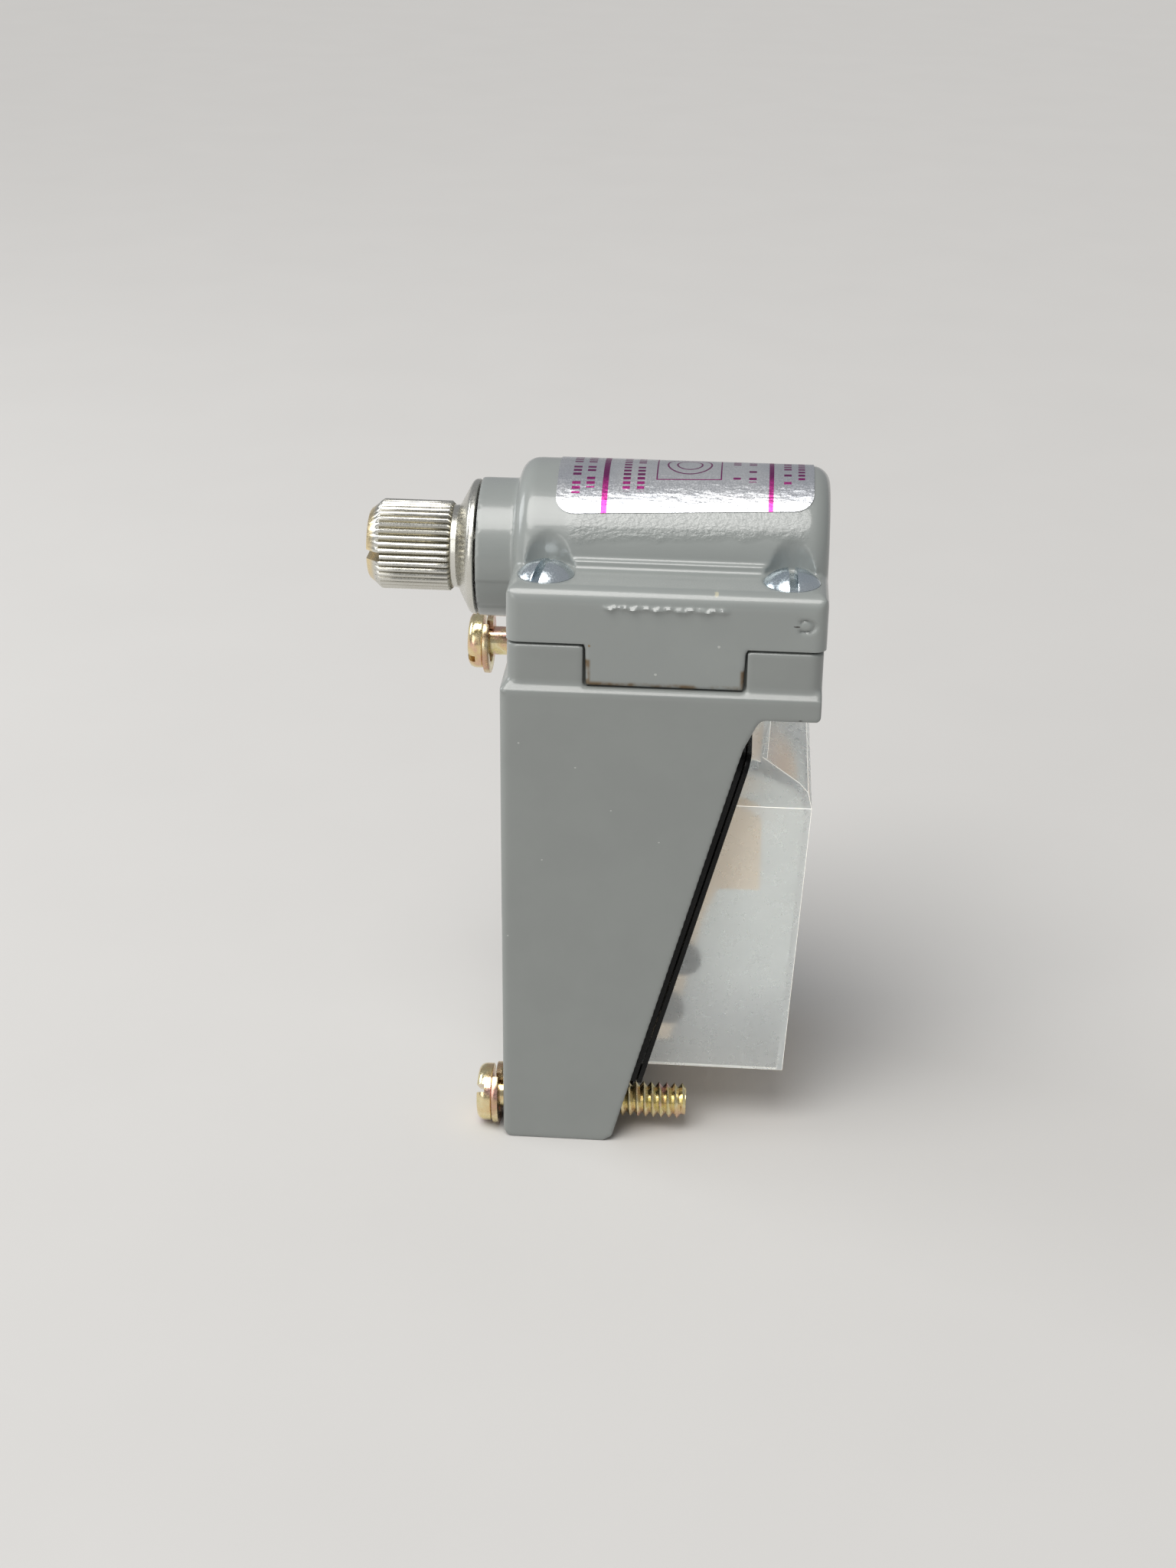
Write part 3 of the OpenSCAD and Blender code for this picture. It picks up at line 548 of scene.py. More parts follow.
@dataclass(frozen=True)
class PrintedFoil(Finish):
    """Crinkled foil with a generic print: two bars, rows of short strokes and a plain figure."""

    size: Point = (0.0178, 0.0328)
    magenta: Colour = (0.62, 0.06, 0.34)
    # Dark purple of a painted reflection on the ink towards the top of the barrel.
    painted_reflection_purple: Colour = (0.13, 0.03, 0.12)

    def print_masks(self, sheet: Sheet) -> tuple[Socket, Socket]:
        """Draws the print on the label's own UV map.

        Returns:
            The ink's mask, and the place across the label.
        """
        spot = sheet.node("ShaderNodeUVMap", uv_map="label").outputs[0]
        side, along, _ = sheet.axes(spot)
        u = sheet.math("MULTIPLY", sheet.math("SUBTRACT", side, 0.5), self.size[0] / MM)
        v = sheet.math("MULTIPLY", along, self.size[1] / MM)
        bars = sheet.math("ADD", sheet.band(v, 5.75, 6.45, 0.04), sheet.band(v, 26.75, 27.3, 0.04))
        ink = bars
        for low, high, reach in ((1.9, 2.9, 6.5), (3.7, 4.7, 5.6), (8.3, 9.2, 6.2), (10.1, 11.0, 6.2),
                                 (22.2, 23.1, 4.0), (24.2, 25.1, 4.6), (28.6, 29.5, 5.6), (30.4, 31.2, 4.2)):
            cell = sheet.math("MULTIPLY", u, 1.15)
            chance = sheet.node("ShaderNodeTexWhiteNoise", noise_dimensions="2D")
            sheet.feed(chance.inputs["Vector"], sheet.vector(sheet.math("FLOOR", cell), low, 0.0))
            gap = sheet.band(sheet.math("FRACT", cell), 0.16, 0.70, 0.05)
            written = sheet.math("GREATER_THAN", chance.outputs["Value"], 0.18)
            row = sheet.math("MULTIPLY", sheet.band(v, low, high, 0.05), gap)
            row = sheet.math("MULTIPLY", row, written)
            row = sheet.math("MULTIPLY", row, sheet.band(u, -reach, reach, 0.05))
            ink = sheet.math("MAXIMUM", ink, row)
        figure = sheet.vector(u, sheet.math("SUBTRACT", v, 16.6), 0.0)
        away = sheet.node("ShaderNodeVectorMath", operation="LENGTH")
        sheet.feed(away.inputs[0], figure)
        for radius in (1.5, 2.7):
            ink = sheet.math("MAXIMUM", ink, sheet.band(away.outputs["Value"], radius, radius + 0.18, 0.05))
        square = sheet.math("MAXIMUM", sheet.math("ABSOLUTE", u),
                            sheet.math("ABSOLUTE", sheet.math("SUBTRACT", v, 16.6)))
        ink = sheet.math("MAXIMUM", ink, sheet.band(square, 4.0, 4.12, 0.05))
        return sheet.math("MINIMUM", ink, 1.0), u

    def colour(self, sheet: Sheet, place: Socket, skin: Node) -> Socket:
        """Prints magenta ink on the foil; towards the top of the barrel the ink is mixed to a dark purple, a
        painted reflection.
        """
        ink, u = self.print_masks(sheet)
        # Painted reflection: the ink darkens towards the top of the barrel, where the foil shows a dark
        # reflection.
        ink_reflection_share = sheet.math("SUBTRACT", 1.0, sheet.span(sheet.math("ABSOLUTE", u), 3.0, 5.2))
        paint = sheet.mix(sheet.math("MULTIPLY", ink_reflection_share, 0.75), self.magenta, self.painted_reflection_purple)
        return sheet.mix(ink, sheet.mix(skin.outputs["Cloud"], self.tone, self.shade), paint)

    def height(self, sheet: Sheet, place: Socket, skin: Node) -> Socket:
        """Crinkles the foil along the barrel."""
        crinkle = sheet.noise(sheet.scaled(place, (1300.0, 420.0, 1300.0)), 1.0, 4.0)
        return sheet.math("ADD", sheet.math("MULTIPLY", crinkle, 2.2), skin.outputs["Height"])


@dataclass(frozen=True)
class Plate(Finish):
    """A blank rating plate with a printed frame and ruled lines."""

    centre: Point = (0.0, 0.031)
    half: Point = (0.0113, 0.0153)

    def colour(self, sheet: Sheet, place: Socket, skin: Node) -> Socket:
        """Rules a frame and four lines on the metal."""
        across, _, up = sheet.axes(place)
        side = sheet.math("ABSOLUTE", sheet.math("SUBTRACT", across, self.centre[0]))
        level = sheet.math("ABSOLUTE", sheet.math("SUBTRACT", up, self.centre[1]))
        rim = sheet.math(
            "MAXIMUM", sheet.math("SUBTRACT", side, self.half[0]), sheet.math("SUBTRACT", level, self.half[1])
        )
        ink = sheet.band(rim, -0.35 * MM, 0.0, 0.05 * MM)
        inside = sheet.math("LESS_THAN", rim, -1.6 * MM)
        step = sheet.math("FRACT", sheet.math("MULTIPLY", sheet.math("SUBTRACT", up, self.centre[1]), 200.0))
        ruled = sheet.math("MULTIPLY", sheet.band(step, 0.48, 0.52, 0.01), inside)
        ink = sheet.math("MAXIMUM", ink, ruled)
        return sheet.mix(ink, sheet.mix(skin.outputs["Cloud"], self.tone, self.shade), (0.03, 0.03, 0.035))


GREY: Colour = (0.220, 0.234, 0.224)
GREY_SHADE: Colour = (0.212, 0.225, 0.216)
# The head's tones are the body's grey enamel painted lighter: painted light for the stronger light from above on
# the barrel.
HEAD_GREY_PAINTED_LIGHTER: Colour = (0.245, 0.262, 0.252)
HEAD_CLOUD_PAINTED_LIGHTER: Colour = (0.236, 0.252, 0.243)
NIB: Colour = (0.40, 0.41, 0.39)
CHIP: Colour = (0.035, 0.033, 0.03)

PLAIN_FINISHES: dict[Slot, Finish] = {
    finish.slot: finish
    for finish in (
        Finish(Slot.ZINC, (0.72, 0.78, 0.82), (0.60, 0.69, 0.75), 1.0, (0.16, 0.30), relief=0.000006),
        Finish(Slot.RUBBER, (0.003, 0.003, 0.003), (0.006, 0.006, 0.006), 0.0, (0.20, 0.30), relief=0.000008,
               specular=0.16),
        Finish(Slot.GASKET_SHEET, (0.03, 0.03, 0.03), (0.05, 0.05, 0.048), 0.0, (0.6, 0.8), relief=0.00002),
        Finish(Slot.BRONZE, (0.50, 0.31, 0.14), (0.36, 0.21, 0.09), 0.9, (0.35, 0.6), grain=9000.0),
        Finish(Slot.SPRING, (0.36, 0.37, 0.39), (0.26, 0.27, 0.29), 1.0, (0.25, 0.4)),
        Finish(Slot.SINTERED, (0.30, 0.29, 0.28), (0.20, 0.19, 0.18), 0.9, (0.4, 0.65), grain=8000.0),
        Finish(Slot.BLACK_PLASTIC, (0.02, 0.02, 0.022), (0.03, 0.03, 0.032), 0.0, (0.35, 0.5)),
        Finish(Slot.RED_PLASTIC, (0.42, 0.05, 0.03), (0.34, 0.04, 0.025), 0.0, (0.3, 0.45)),
        # The phenolic's tan tone is partly painted lighter, and its glow is painted light, standing in for the
        # light that barely reaches the block inside the housing.
        Finish(Slot.PHENOLIC, (0.92, 0.72, 0.52), (0.84, 0.62, 0.42), 0.0, (0.4, 0.6), grain=2500.0,
               glow=0.24),
        Finish(Slot.COPPER, (0.70, 0.38, 0.24), (0.55, 0.28, 0.17), 1.0, (0.22, 0.4)),
        Finish(Slot.BRASS, (0.75, 0.55, 0.26), (0.62, 0.43, 0.19), 1.0, (0.25, 0.4)),
        Finish(Slot.DARK_SCREW, (0.10, 0.075, 0.06), (0.06, 0.05, 0.045), 0.8, (0.35, 0.5)),
    )
}
CHROMATE = Chromate(Slot.CHROMATE, (0.80, 0.62, 0.34), (0.66, 0.42, 0.40), 1.0, (0.14, 0.28), relief=0.000008)
WASHER_CHROMATE = Chromate(Slot.WASHER, (0.62, 0.42, 0.26), (0.55, 0.36, 0.34), 1.0, (0.2, 0.38))
# Milky plastic; its small glow is painted light that brightens the housing as if lit from within.
MILKY = Finish(
    Slot.MILKY, (0.90, 0.93, 0.92), (0.86, 0.89, 0.88), gloss=(0.27, 0.29), relief=0.0000006, clear=0.82,
    peel=200.0, grain=900.0, glow=0.045
)
# Painted highlight for the housing's rounded folds: a bright cream tone with strong emission, for the light that
# leaves the plastic at its edges.
MILKY_FOLD_PAINTED_HIGHLIGHT = Finish(
    Slot.MILKY, (0.97, 0.95, 0.88), (0.98, 0.90, 0.72), gloss=(0.25, 0.4), clear=0.05, blotch=600.0, glow=0.8,
    suffix="_edge"
)


# ------------------------------------------------------------------- workshop


def bake(piece: Piece) -> None:
    """Makes a piece's modifiers part of its mesh."""
    bpy.context.view_layer.update()
    graph = bpy.context.evaluated_depsgraph_get()
    mesh = bpy.data.meshes.new_from_object(piece.evaluated_get(graph))
    piece.modifiers.clear()
    piece.data = mesh


def to_piece(bm: Mesh, name: str) -> Piece:
    """Turns a bmesh into an object at the origin.

    Args:
        bm: The mesh, which is freed.
        name: The object's name.

    Returns:
        The object, with its faces pointing outwards.
    """
    bmesh.ops.remove_doubles(bm, verts=bm.verts, dist=0.2e-6)
    bmesh.ops.recalc_face_normals(bm, faces=bm.faces)
    mesh = bpy.data.meshes.new(name)
    bm.to_mesh(mesh)
    bm.free()
    piece = bpy.data.objects.new(name, mesh)
    bpy.context.scene.collection.objects.link(piece)
    return piece


def shade(piece: Piece, crease: float = 35.0) -> None:
    """Shades a piece smooth, apart from edges sharper than the crease angle."""
    piece.data.shade_smooth()
    piece.data.set_sharp_from_angle(angle=math.radians(crease))


def carve(piece: Piece, tool: Piece, operation: str = "DIFFERENCE") -> None:
    """Cuts a tool out of a piece, or adds it, and removes the tool.

    Args:
        piece: The piece that is changed.
        tool: The closed shape that is used up.
        operation: DIFFERENCE, UNION or INTERSECT.
    """
    cut = piece.modifiers.new("carve", "BOOLEAN")
    cut.operation = operation
    cut.solver = "EXACT"
    cut.object = tool
    bake(piece)
    bpy.data.objects.remove(tool)


def lathe(bm: Mesh, outline: Sequence[Point], place: Matrix, steps: int = 96) -> None:
    """Turns an outline of (radius, height) points round the place's Z axis.

    Args:
        bm: The mesh that the shape is added to.
        outline: From one end of the axis to the other.
        place: Moves and turns the shape.
        steps: Steps in a full turn.
    """
    chain = [bm.verts.new((radius, 0.0, height)) for radius, height in outline]
    edges = [bm.edges.new(pair) for pair in zip(chain, chain[1:])]
    bmesh.ops.spin(
        bm, geom=chain + edges, cent=(0, 0, 0), axis=(0, 0, 1), angle=math.tau, steps=steps, use_merge=True
    )
    bmesh.ops.remove_doubles(bm, verts=[v for v in bm.verts if not v.tag], dist=1e-7)
    moved = [v for v in bm.verts if not v.tag]
    bmesh.ops.transform(bm, matrix=place, verts=moved)
    for vert in moved:
        vert.tag = True


def block(bm: Mesh, size: Sequence[float], place: Matrix) -> None:
    """Adds a box of the given size, moved by place."""
    made = bmesh.ops.create_cube(bm, size=1.0, matrix=place @ Matrix.Diagonal((*size, 1.0)))
    for vert in made["verts"]:
        vert.tag = True


def rounded_slab(bm: Mesh, size: Point, radius: float, thick: float, place: Matrix) -> list:
    """Adds a flat slab with rounded corners, standing from Z=0 to its thickness.

    Args:
        bm: The mesh that it is added to.
        size: Width and length.
        radius: Corner radius.
        thick: Thickness.
        place: Moves and turns it.

    Returns:
        Its vertices.
    """
    width, length = size
    made = bmesh.ops.create_grid(bm, x_segments=1, y_segments=1, size=0.5)
    corners = made["verts"]
    bmesh.ops.scale(bm, vec=(width, length, 1.0), verts=corners)
    rounded = bmesh.ops.bevel(
        bm, geom=corners, offset=radius, offset_type="OFFSET", affect="VERTICES", segments=8, profile=0.5,
        material=-1,
    )
    faces = list({face for vert in rounded["verts"] for face in vert.link_faces})
    grown = bmesh.ops.extrude_face_region(bm, geom=faces)
    tops = [item for item in grown["geom"] if isinstance(item, bmesh.types.BMVert)]
    bmesh.ops.translate(bm, vec=(0, 0, thick), verts=tops)
    whole = list({vert for face in faces for vert in face.verts} | set(tops))
    bmesh.ops.transform(bm, matrix=place, verts=whole)
    for vert in whole:
        vert.tag = True
    return whole


def merged_copy(node: str, name: str) -> Piece:
    """Copies a frame node with its loose triangles merged.

    Args:
        node: The frame's node.
        name: The copy's name.

    Returns:
        The copy, at the origin and with no parent.
    """
    bm = bmesh.new()
    bm.from_mesh(frame["nodes"][node].data)
    bmesh.ops.remove_doubles(bm, verts=bm.verts, dist=1e-6)
    return to_piece(bm, name)


def soften(piece: Piece, voxel: float, passes: int) -> None:
    """Gives a piece the soft edges of an enamelled casting.

    Args:
        piece: A closed mesh.
        voxel: Size of the remesh.
        passes: Smoothing passes.
    """
    remesh = piece.modifiers.new("remesh", "REMESH")
    remesh.mode = "VOXEL"
    remesh.voxel_size = voxel
    smooth = piece.modifiers.new("smooth", "SMOOTH")
    smooth.factor = 0.5
    smooth.iterations = passes
    bake(piece)


def thin_out(piece: Piece, share: float) -> None:
    """Keeps a share of a piece's triangles, mostly where it curves."""
    thin = piece.modifiers.new("thin", "DECIMATE")
    thin.ratio = share
    bake(piece)


def sculpt(piece: Piece, move: Callable[[np.ndarray, np.ndarray], np.ndarray]) -> None:
    """Moves a piece's vertices.

    Args:
        piece: The piece.
        move: Takes places and normals, and returns the new places.
    """
    count = len(piece.data.vertices)
    places = np.empty(count * 3, np.float32)
    normals = np.empty(count * 3, np.float32)
    piece.data.vertices.foreach_get("co", places)
    piece.data.vertices.foreach_get("normal", normals)
    moved = move(places.reshape(-1, 3), normals.reshape(-1, 3))
    piece.data.vertices.foreach_set("co", moved.astype(np.float32).ravel())
    piece.data.update()


def dress(piece: Piece, *finishes: Finish) -> None:
    """Gives a piece its materials in slot order."""
    if piece.data.materials:
        piece.data.materials.clear()
    for finish in finishes:
        piece.data.materials.append(finish.material())


def install(piece: Piece, node: str, finishes: Sequence[Finish], crease: float = 35.0) -> None:
    """Shades, dresses and fixes a piece in its node's place.

    Args:
        piece: The finished piece.
        node: The frame's node that it stands for.
        finishes: Its finishes in slot order.
        crease: Angle above which an edge stays sharp.
    """
    shade(piece, crease)
    dress(piece, *finishes)
    body = next(name for name, members in frame["record"]["behaviour"]["bodies"].items() if node in members)
    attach(piece, body)
    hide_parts(node)
    LOG.info("piece %s rides on %s for %s", piece.name, body, node)


def dress_node(node: str, finish: Finish) -> None:
    """Dresses a frame node whose shape stays."""
    piece = frame["nodes"][node]
    dress(piece, finish)
    LOG.info("node %s is dressed as %s", node, finish.slot.value)


def ripple(values: np.ndarray, seed: float) -> np.ndarray:
    """A smooth, repeatable wobble between -1 and 1 along a line of values in metres."""
    waves = ((2100.0, 1.0), (4700.0, 0.7), (9100.0, 0.5))
    total = sum(
        size * np.sin(values * rate + seed * (order + 1.7)) for order, (rate, size) in enumerate(waves)
    )
    return total / sum(size for _, size in waves)


# ----------------------------------------------------------------- sub-assemblies


@dataclass
class BodyAssembly:
    """The lower casting with its rubber gasket and blank front plate."""

    voxel: float = 0.30 * MM
    gasket_lip: float = 0.62 * MM
    gasket_groove: float = 0.26 * MM
    corner_width: float = 8.8 * MM
    corner_radius: float = 5.5 * MM
    low_corner: float = 5.5 * MM
    high_corner: float = 2.9 * MM
    screw_hole: float = 2.75 * MM
    low: Vector = field(default_factory=lambda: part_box("body_casting")[0])
    high: Vector = field(default_factory=lambda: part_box("body_casting")[1])

    def enamel(self) -> Enamel:
        """The body's enamel, with the small marks on its near side."""
        side = self.high.x
        tiny = (0.4 * MM, 0.15 * MM, 0.11 * MM)
        marks = [
            ((side, 0.0285, 0.0607), (1.0 * MM, 0.75 * MM, 0.16 * MM), CHIP),
            ((side, 0.0300, 0.0631), (1.0 * MM, 0.35 * MM, 0.12 * MM), CHIP),
            ((side, 0.0268, 0.0552), (1.0 * MM, 0.55 * MM, 0.16 * MM), NIB),
            ((side, 0.0180, 0.0272), (1.0 * MM, 0.5 * MM, 0.2 * MM), CHIP),
        ]
        nibs = ((-0.0052, 0.0586), (0.0066, 0.0497), (-0.0066, 0.0310), (-0.0022, 0.0423), (0.0105, 0.0120),
                (0.0020, 0.0555), (0.0128, 0.0455))
        marks += [((side, y, z), tiny, NIB) for y, z in nibs]
        spots = tuple(Spot(*mark) for mark in marks)
        return Enamel(
            Slot.ENAMEL, GREY, GREY_SHADE, gloss=(0.34, 0.44), coat=0.55, relief=0.000016, suffix="_body",
            peel=650.0, spots=spots,
        )

    def casting(self) -> None:
        """Builds the soft-edged body casting."""
        piece = merged_copy("body_casting", "body_shell")
        soften(piece, self.voxel, 3)
        thin_out(piece, 0.42)
        install(piece, "body_casting", [self.enamel()], 60.0)

    def gasket(self) -> None:
        """Builds the moulded gasket: two lips with a groove round the edge between them."""
        low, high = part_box("body_gasket")
        tilt = Matrix.Rotation(-SLANT, 4, "X")
        face = Matrix.Translation((0, -self.low.y - 0.4 * MM, 0)) @ tilt
        foot = low.z / math.cos(SLANT) + 0.3 * MM
        head = high.z / math.cos(SLANT) - 0.1 * MM
        width = high.x - low.x
        upright = Matrix.Translation((0, 0, (foot + head) / 2)) @ Matrix.Rotation(math.radians(90), 4, "X")
        flip = Matrix.Rotation(math.radians(180), 4, "Z")
        bm = bmesh.new()
        groove = self.gasket_lip + self.gasket_groove
        layers = (
            (0.02 * MM, self.gasket_lip, 0.0),
            (self.gasket_lip * 0.9, self.gasket_groove + 0.1 * MM, 0.35 * MM),
            (groove, self.gasket_lip, 0.1 * MM),
        )
        for start, thick, inset in layers:
            place = face @ Matrix.Translation((0, start, 0)) @ flip @ upright
            rounded_slab(bm, (width - 2 * inset, head - foot - 2 * inset), 2.4 * MM, thick, place)
        piece = to_piece(bm, "moulded_gasket")
        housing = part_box("contact_housing")
        open_low = housing[0].z / math.cos(SLANT) - 1.0 * MM
        open_high = head - 4.2 * MM
        deep = 20 * MM
        cuts = [
            ((housing[1].x - housing[0].x + 0.6 * MM, deep, open_high - open_low), 0.0,
             (open_low + open_high) / 2),
            ((deep, deep, deep), high.x - self.corner_width + deep / 2, foot + self.low_corner - deep / 2),
            ((deep, deep, deep), low.x + self.corner_width - deep / 2, head - self.high_corner + deep / 2),
        ]
        for size, x, up in cuts:
            tool = bmesh.new()
            block(tool, size, face @ Matrix.Translation((x, 6 * MM, up)))
            carve(piece, to_piece(tool, "cut"))
        tool = bmesh.new()
        centre = face @ Matrix.Translation((high.x, 0, foot + 2.6 * MM)) @ ALONG_Y
        corner = ((0, -deep), (self.corner_radius, -deep), (self.corner_radius, deep), (0, deep))
        lathe(tool, corner, centre, 64)
        carve(piece, to_piece(tool, "corner"))
        for screw in ("upper_screw", "lower_screw"):
            middle = sum(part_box(screw), Vector()) / 2
            tool = bmesh.new()
            lathe(tool, ((0, -0.05), (self.screw_hole, -0.05), (self.screw_hole, 0.05), (0, 0.05)),
                  Matrix.Translation(middle) @ ALONG_Y, 48)
            carve(piece, to_piece(tool, "hole"))
        self.round_edges(piece, 0.16 * MM)
        install(piece, "body_gasket", [PLAIN_FINISHES[Slot.RUBBER]], 40.0)

    def round_edges(self, piece: Piece, width: float) -> None:
        """Rounds a piece's sharp edges with a bevel."""
        bevel = piece.modifiers.new("round", "BEVEL")
        bevel.width = width
        bevel.segments = 3
        bevel.limit_method = "ANGLE"
        bevel.angle_limit = math.radians(40)
        bake(piece)

    def plate(self) -> None:
        """Dresses the blank plate in the front recess."""
        low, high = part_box("front_plate")
        half = ((high.x - low.x) / 2 - 1.5 * MM, (high.z - low.z) / 2 - 1.5 * MM)
        finish = Plate(Slot.PLATE, (0.62, 0.63, 0.64), (0.55, 0.56, 0.57), 1.0, (0.28, 0.42),
                       centre=((low.x + high.x) / 2, (low.z + high.z) / 2), half=half)
        dress_node("front_plate", finish)

    def build(self) -> None:
        """Builds every piece of the body."""
        self.casting()
        self.gasket()
        self.plate()


@dataclass
class HeadAssembly:
    """The turret head: its casting, foil label, four oval-head screws and gasket."""

    voxel: float = 0.24 * MM
    barrel: float = 11.9 * MM
    flash: Point = (0.0050, 0.0208)
    flash_z: float = 0.0768
    screw_radius: float = 3.55 * MM
    slot_width: float = 1.05 * MM
    skew: float = math.radians(7.2)
    low: Vector = field(default_factory=lambda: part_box("head_housing")[0])
    high: Vector = field(default_factory=lambda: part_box("head_housing")[1])
    parting: float = field(default_factory=lambda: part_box("head_gasket")[0].z)
    axis_z: float = field(default_factory=lambda: frame["joints"][0]["pos_m"][2])

    def enamel(self) -> HeadEnamel:
        """The head's enamel, with grime along the locating tab."""
        side = self.high.x
        foot = self.low.z
        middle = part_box("head_gasket")
        centre = (middle[0].y + middle[1].y) / 2
        marks = (
            ((side, 0.0290, 0.0752), (1.0 * MM, 0.5 * MM, 0.14 * MM), CHIP),
            ((side, 0.0195, 0.0722), (1.0 * MM, 0.22 * MM, 0.22 * MM), NIB),
            ((side, 0.0118, 0.0682), (1.0 * MM, 0.25 * MM, 0.2 * MM), NIB),
            ((side, 0.0035, 0.0717), (1.0 * MM, 0.2 * MM, 0.2 * MM), (0.2, 0.14, 0.07)),
            ((side, 0.0190, 0.0788), (2.0 * MM, 0.4 * MM, 0.5 * MM), (0.42, 0.40, 0.30)),
        )
        edges = (
            (centre - 10.2 * MM, centre + 10.2 * MM, foot - 0.2 * MM, foot + 0.3 * MM),
            (centre - 10.2 * MM, centre - 9.5 * MM, foot, foot + 3.2 * MM),
            (centre + 9.6 * MM, centre + 10.2 * MM, foot, foot + 2.4 * MM),
        )
        # Its tones are painted lighter than the body's enamel, as painted light on the barrel top.
        return HeadEnamel(
            Slot.ENAMEL, HEAD_GREY_PAINTED_LIGHTER, HEAD_CLOUD_PAINTED_LIGHTER, gloss=(0.32, 0.42), coat=0.7, relief=0.00002, suffix="_head",
            peel=600.0, spots=tuple(Spot(*mark) for mark in marks), dirt_edges=edges, axis_z=self.axis_z,
        )

    def casting_marks(self, places: np.ndarray, normals: np.ndarray) -> np.ndarray:
        """Raises the parting flash, dents a corner and steps the boss at its mould seam.

        Args:
            places: Vertex places.
            normals: Vertex normals.

        Returns:
            The moved places.
        """
        x, y, z = places.T
        moved = places.copy()
        under = (normals[:, 2] < -0.5) & (np.abs(z - self.parting) < 0.4 * MM)
        moved[under, 2] += 0.2 * MM
        near = normals[:, 0] > 0.6
        start, end = self.flash
        along = np.clip((y - start) / (0.8 * MM), 0, 1) * np.clip((end - y) / (0.8 * MM), 0, 1)
        level = np.exp(-(((z - self.flash_z - 0.12 * MM * ripple(y, 3.0)) / (0.24 * MM)) ** 2))
        lift = near * along * level * (0.42 + 0.16 * ripple(y, 1.0)) * MM
        away = np.hypot(y - 0.0300, 1.5 * (z - 0.0752))
        dent = near * (y > 0.0293) * np.exp(-(((away - 1.1 * MM) / (0.3 * MM)) ** 2)) * 0.34 * MM
        moved[:, 0] += lift - dent
        boss = (y < self.low.y + 4.9 * MM) & (z < self.axis_z - 1.6 * MM)
        radial = np.stack([x, z - self.axis_z], 1)
        reach = np.linalg.norm(radial, axis=1) + 1e-9
        outer = boss & (reach > 8.5 * MM)
        moved[outer, 0] -= radial[outer, 0] / reach[outer] * 0.14 * MM
        moved[outer, 2] -= radial[outer, 1] / reach[outer] * 0.14 * MM
        return moved

    def casting(self) -> None:
        """Builds the soft-edged head casting."""
        piece = merged_copy("head_housing", "head_shell")
        soften(piece, self.voxel, 4)
        sculpt(piece, self.casting_marks)
        thin_out(piece, 0.5)
        install(piece, "head_housing", [self.enamel()], 60.0)

    def label(self) -> None:
        """Bends a rounded foil label over the barrel."""
        low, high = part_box("head_label")
        half_angle = math.asin(high.x / self.barrel)
        width = 2 * half_angle * self.barrel
        length = high.y - low.y
        bm = bmesh.new()
        sheet = bmesh.ops.create_grid(bm, x_segments=1, y_segments=1, size=0.5)
        bmesh.ops.scale(bm, vec=(width, length, 1.0), verts=sheet["verts"])
        bmesh.ops.bevel(
            bm, geom=sheet["verts"], offset=2.4 * MM, offset_type="OFFSET", affect="VERTICES", segments=10,
            profile=0.5, material=-1,
        )
        for step in range(1, 48):
            place = ((step / 48 - 0.5) * width, 0, 0)
            geometry = list(bm.verts) + list(bm.edges) + list(bm.faces)
            bmesh.ops.bisect_plane(bm, geom=geometry, dist=1e-8, plane_co=place, plane_no=(1, 0, 0))
        grown = bmesh.ops.extrude_face_region(bm, geom=list(bm.faces))
        tops = [item for item in grown["geom"] if isinstance(item, bmesh.types.BMVert)]
        bmesh.ops.translate(bm, vec=(0, 0, 0.07 * MM), verts=tops)
        layer = bm.loops.layers.uv.new("label")
        for face in bm.faces:
            for loop in face.loops:
                place = loop.vert.co
                loop[layer].uv = (place.x / width + 0.5, place.y / length + 0.5)
        middle = (low.y + high.y) / 2
        for vert in bm.verts:
            angle = vert.co.x / self.barrel - self.skew * vert.co.y / length
            reach = self.barrel + 0.05 * MM + vert.co.z
            vert.co = (math.sin(angle) * reach, middle + vert.co.y, self.axis_z + math.cos(angle) * reach)
        piece = to_piece(bm, "foil_label")
        finish = PrintedFoil(Slot.FOIL, (0.74, 0.75, 0.77), (0.62, 0.64, 0.68), 0.9, (0.22, 0.36),
                             relief=0.000045, size=(width, length))
        install(piece, "head_label", [finish], 50.0)

    def screws(self) -> None:
        """Turns the four oval-head screws, each with its slot at its own angle."""
        low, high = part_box("head_screws")
        rim = high.z - 1.75 * MM
        dome = 4.5 * MM
        radius = self.screw_radius
        drop = math.sqrt(dome**2 - radius**2)
        arcs = 8
        outline = [(0.0, low.z), (1.6 * MM, low.z), (1.7 * MM, low.z + 0.2 * MM), (1.7 * MM, rim - 1.8 * MM),
                   (radius - 0.05 * MM, rim - 0.1 * MM), (radius, rim)]
        top = math.asin(radius / dome)
        sweep = [top * (1 - i / arcs) for i in range(arcs + 1)]
        outline += [(dome * math.sin(angle), rim - drop + dome * math.cos(angle)) for angle in sweep]
        angles = {(1, -1): -19.0, (1, 1): 4.0, (-1, -1): 68.0, (-1, 1): -25.0}
        wide = bmesh.new()
        cuts = bmesh.new()
        for (side, end), angle in angles.items():
            x = (high.x - radius) if side > 0 else (low.x + radius)
            y = (high.y - radius) if end > 0 else (low.y + radius)
            lathe(wide, outline, Matrix.Translation((x, y, 0)), 64)
            turn = Matrix.Translation((x, y, rim + 1.2 * MM)) @ Matrix.Rotation(math.radians(angle), 4, "Z")
            block(cuts, (12 * MM, self.slot_width, 2.5 * MM), turn)
        piece = to_piece(wide, "oval_head_screws")
        carve(piece, to_piece(cuts, "slots"))
        bevel = piece.modifiers.new("round", "BEVEL")
        bevel.width = 0.07 * MM
        bevel.segments = 2
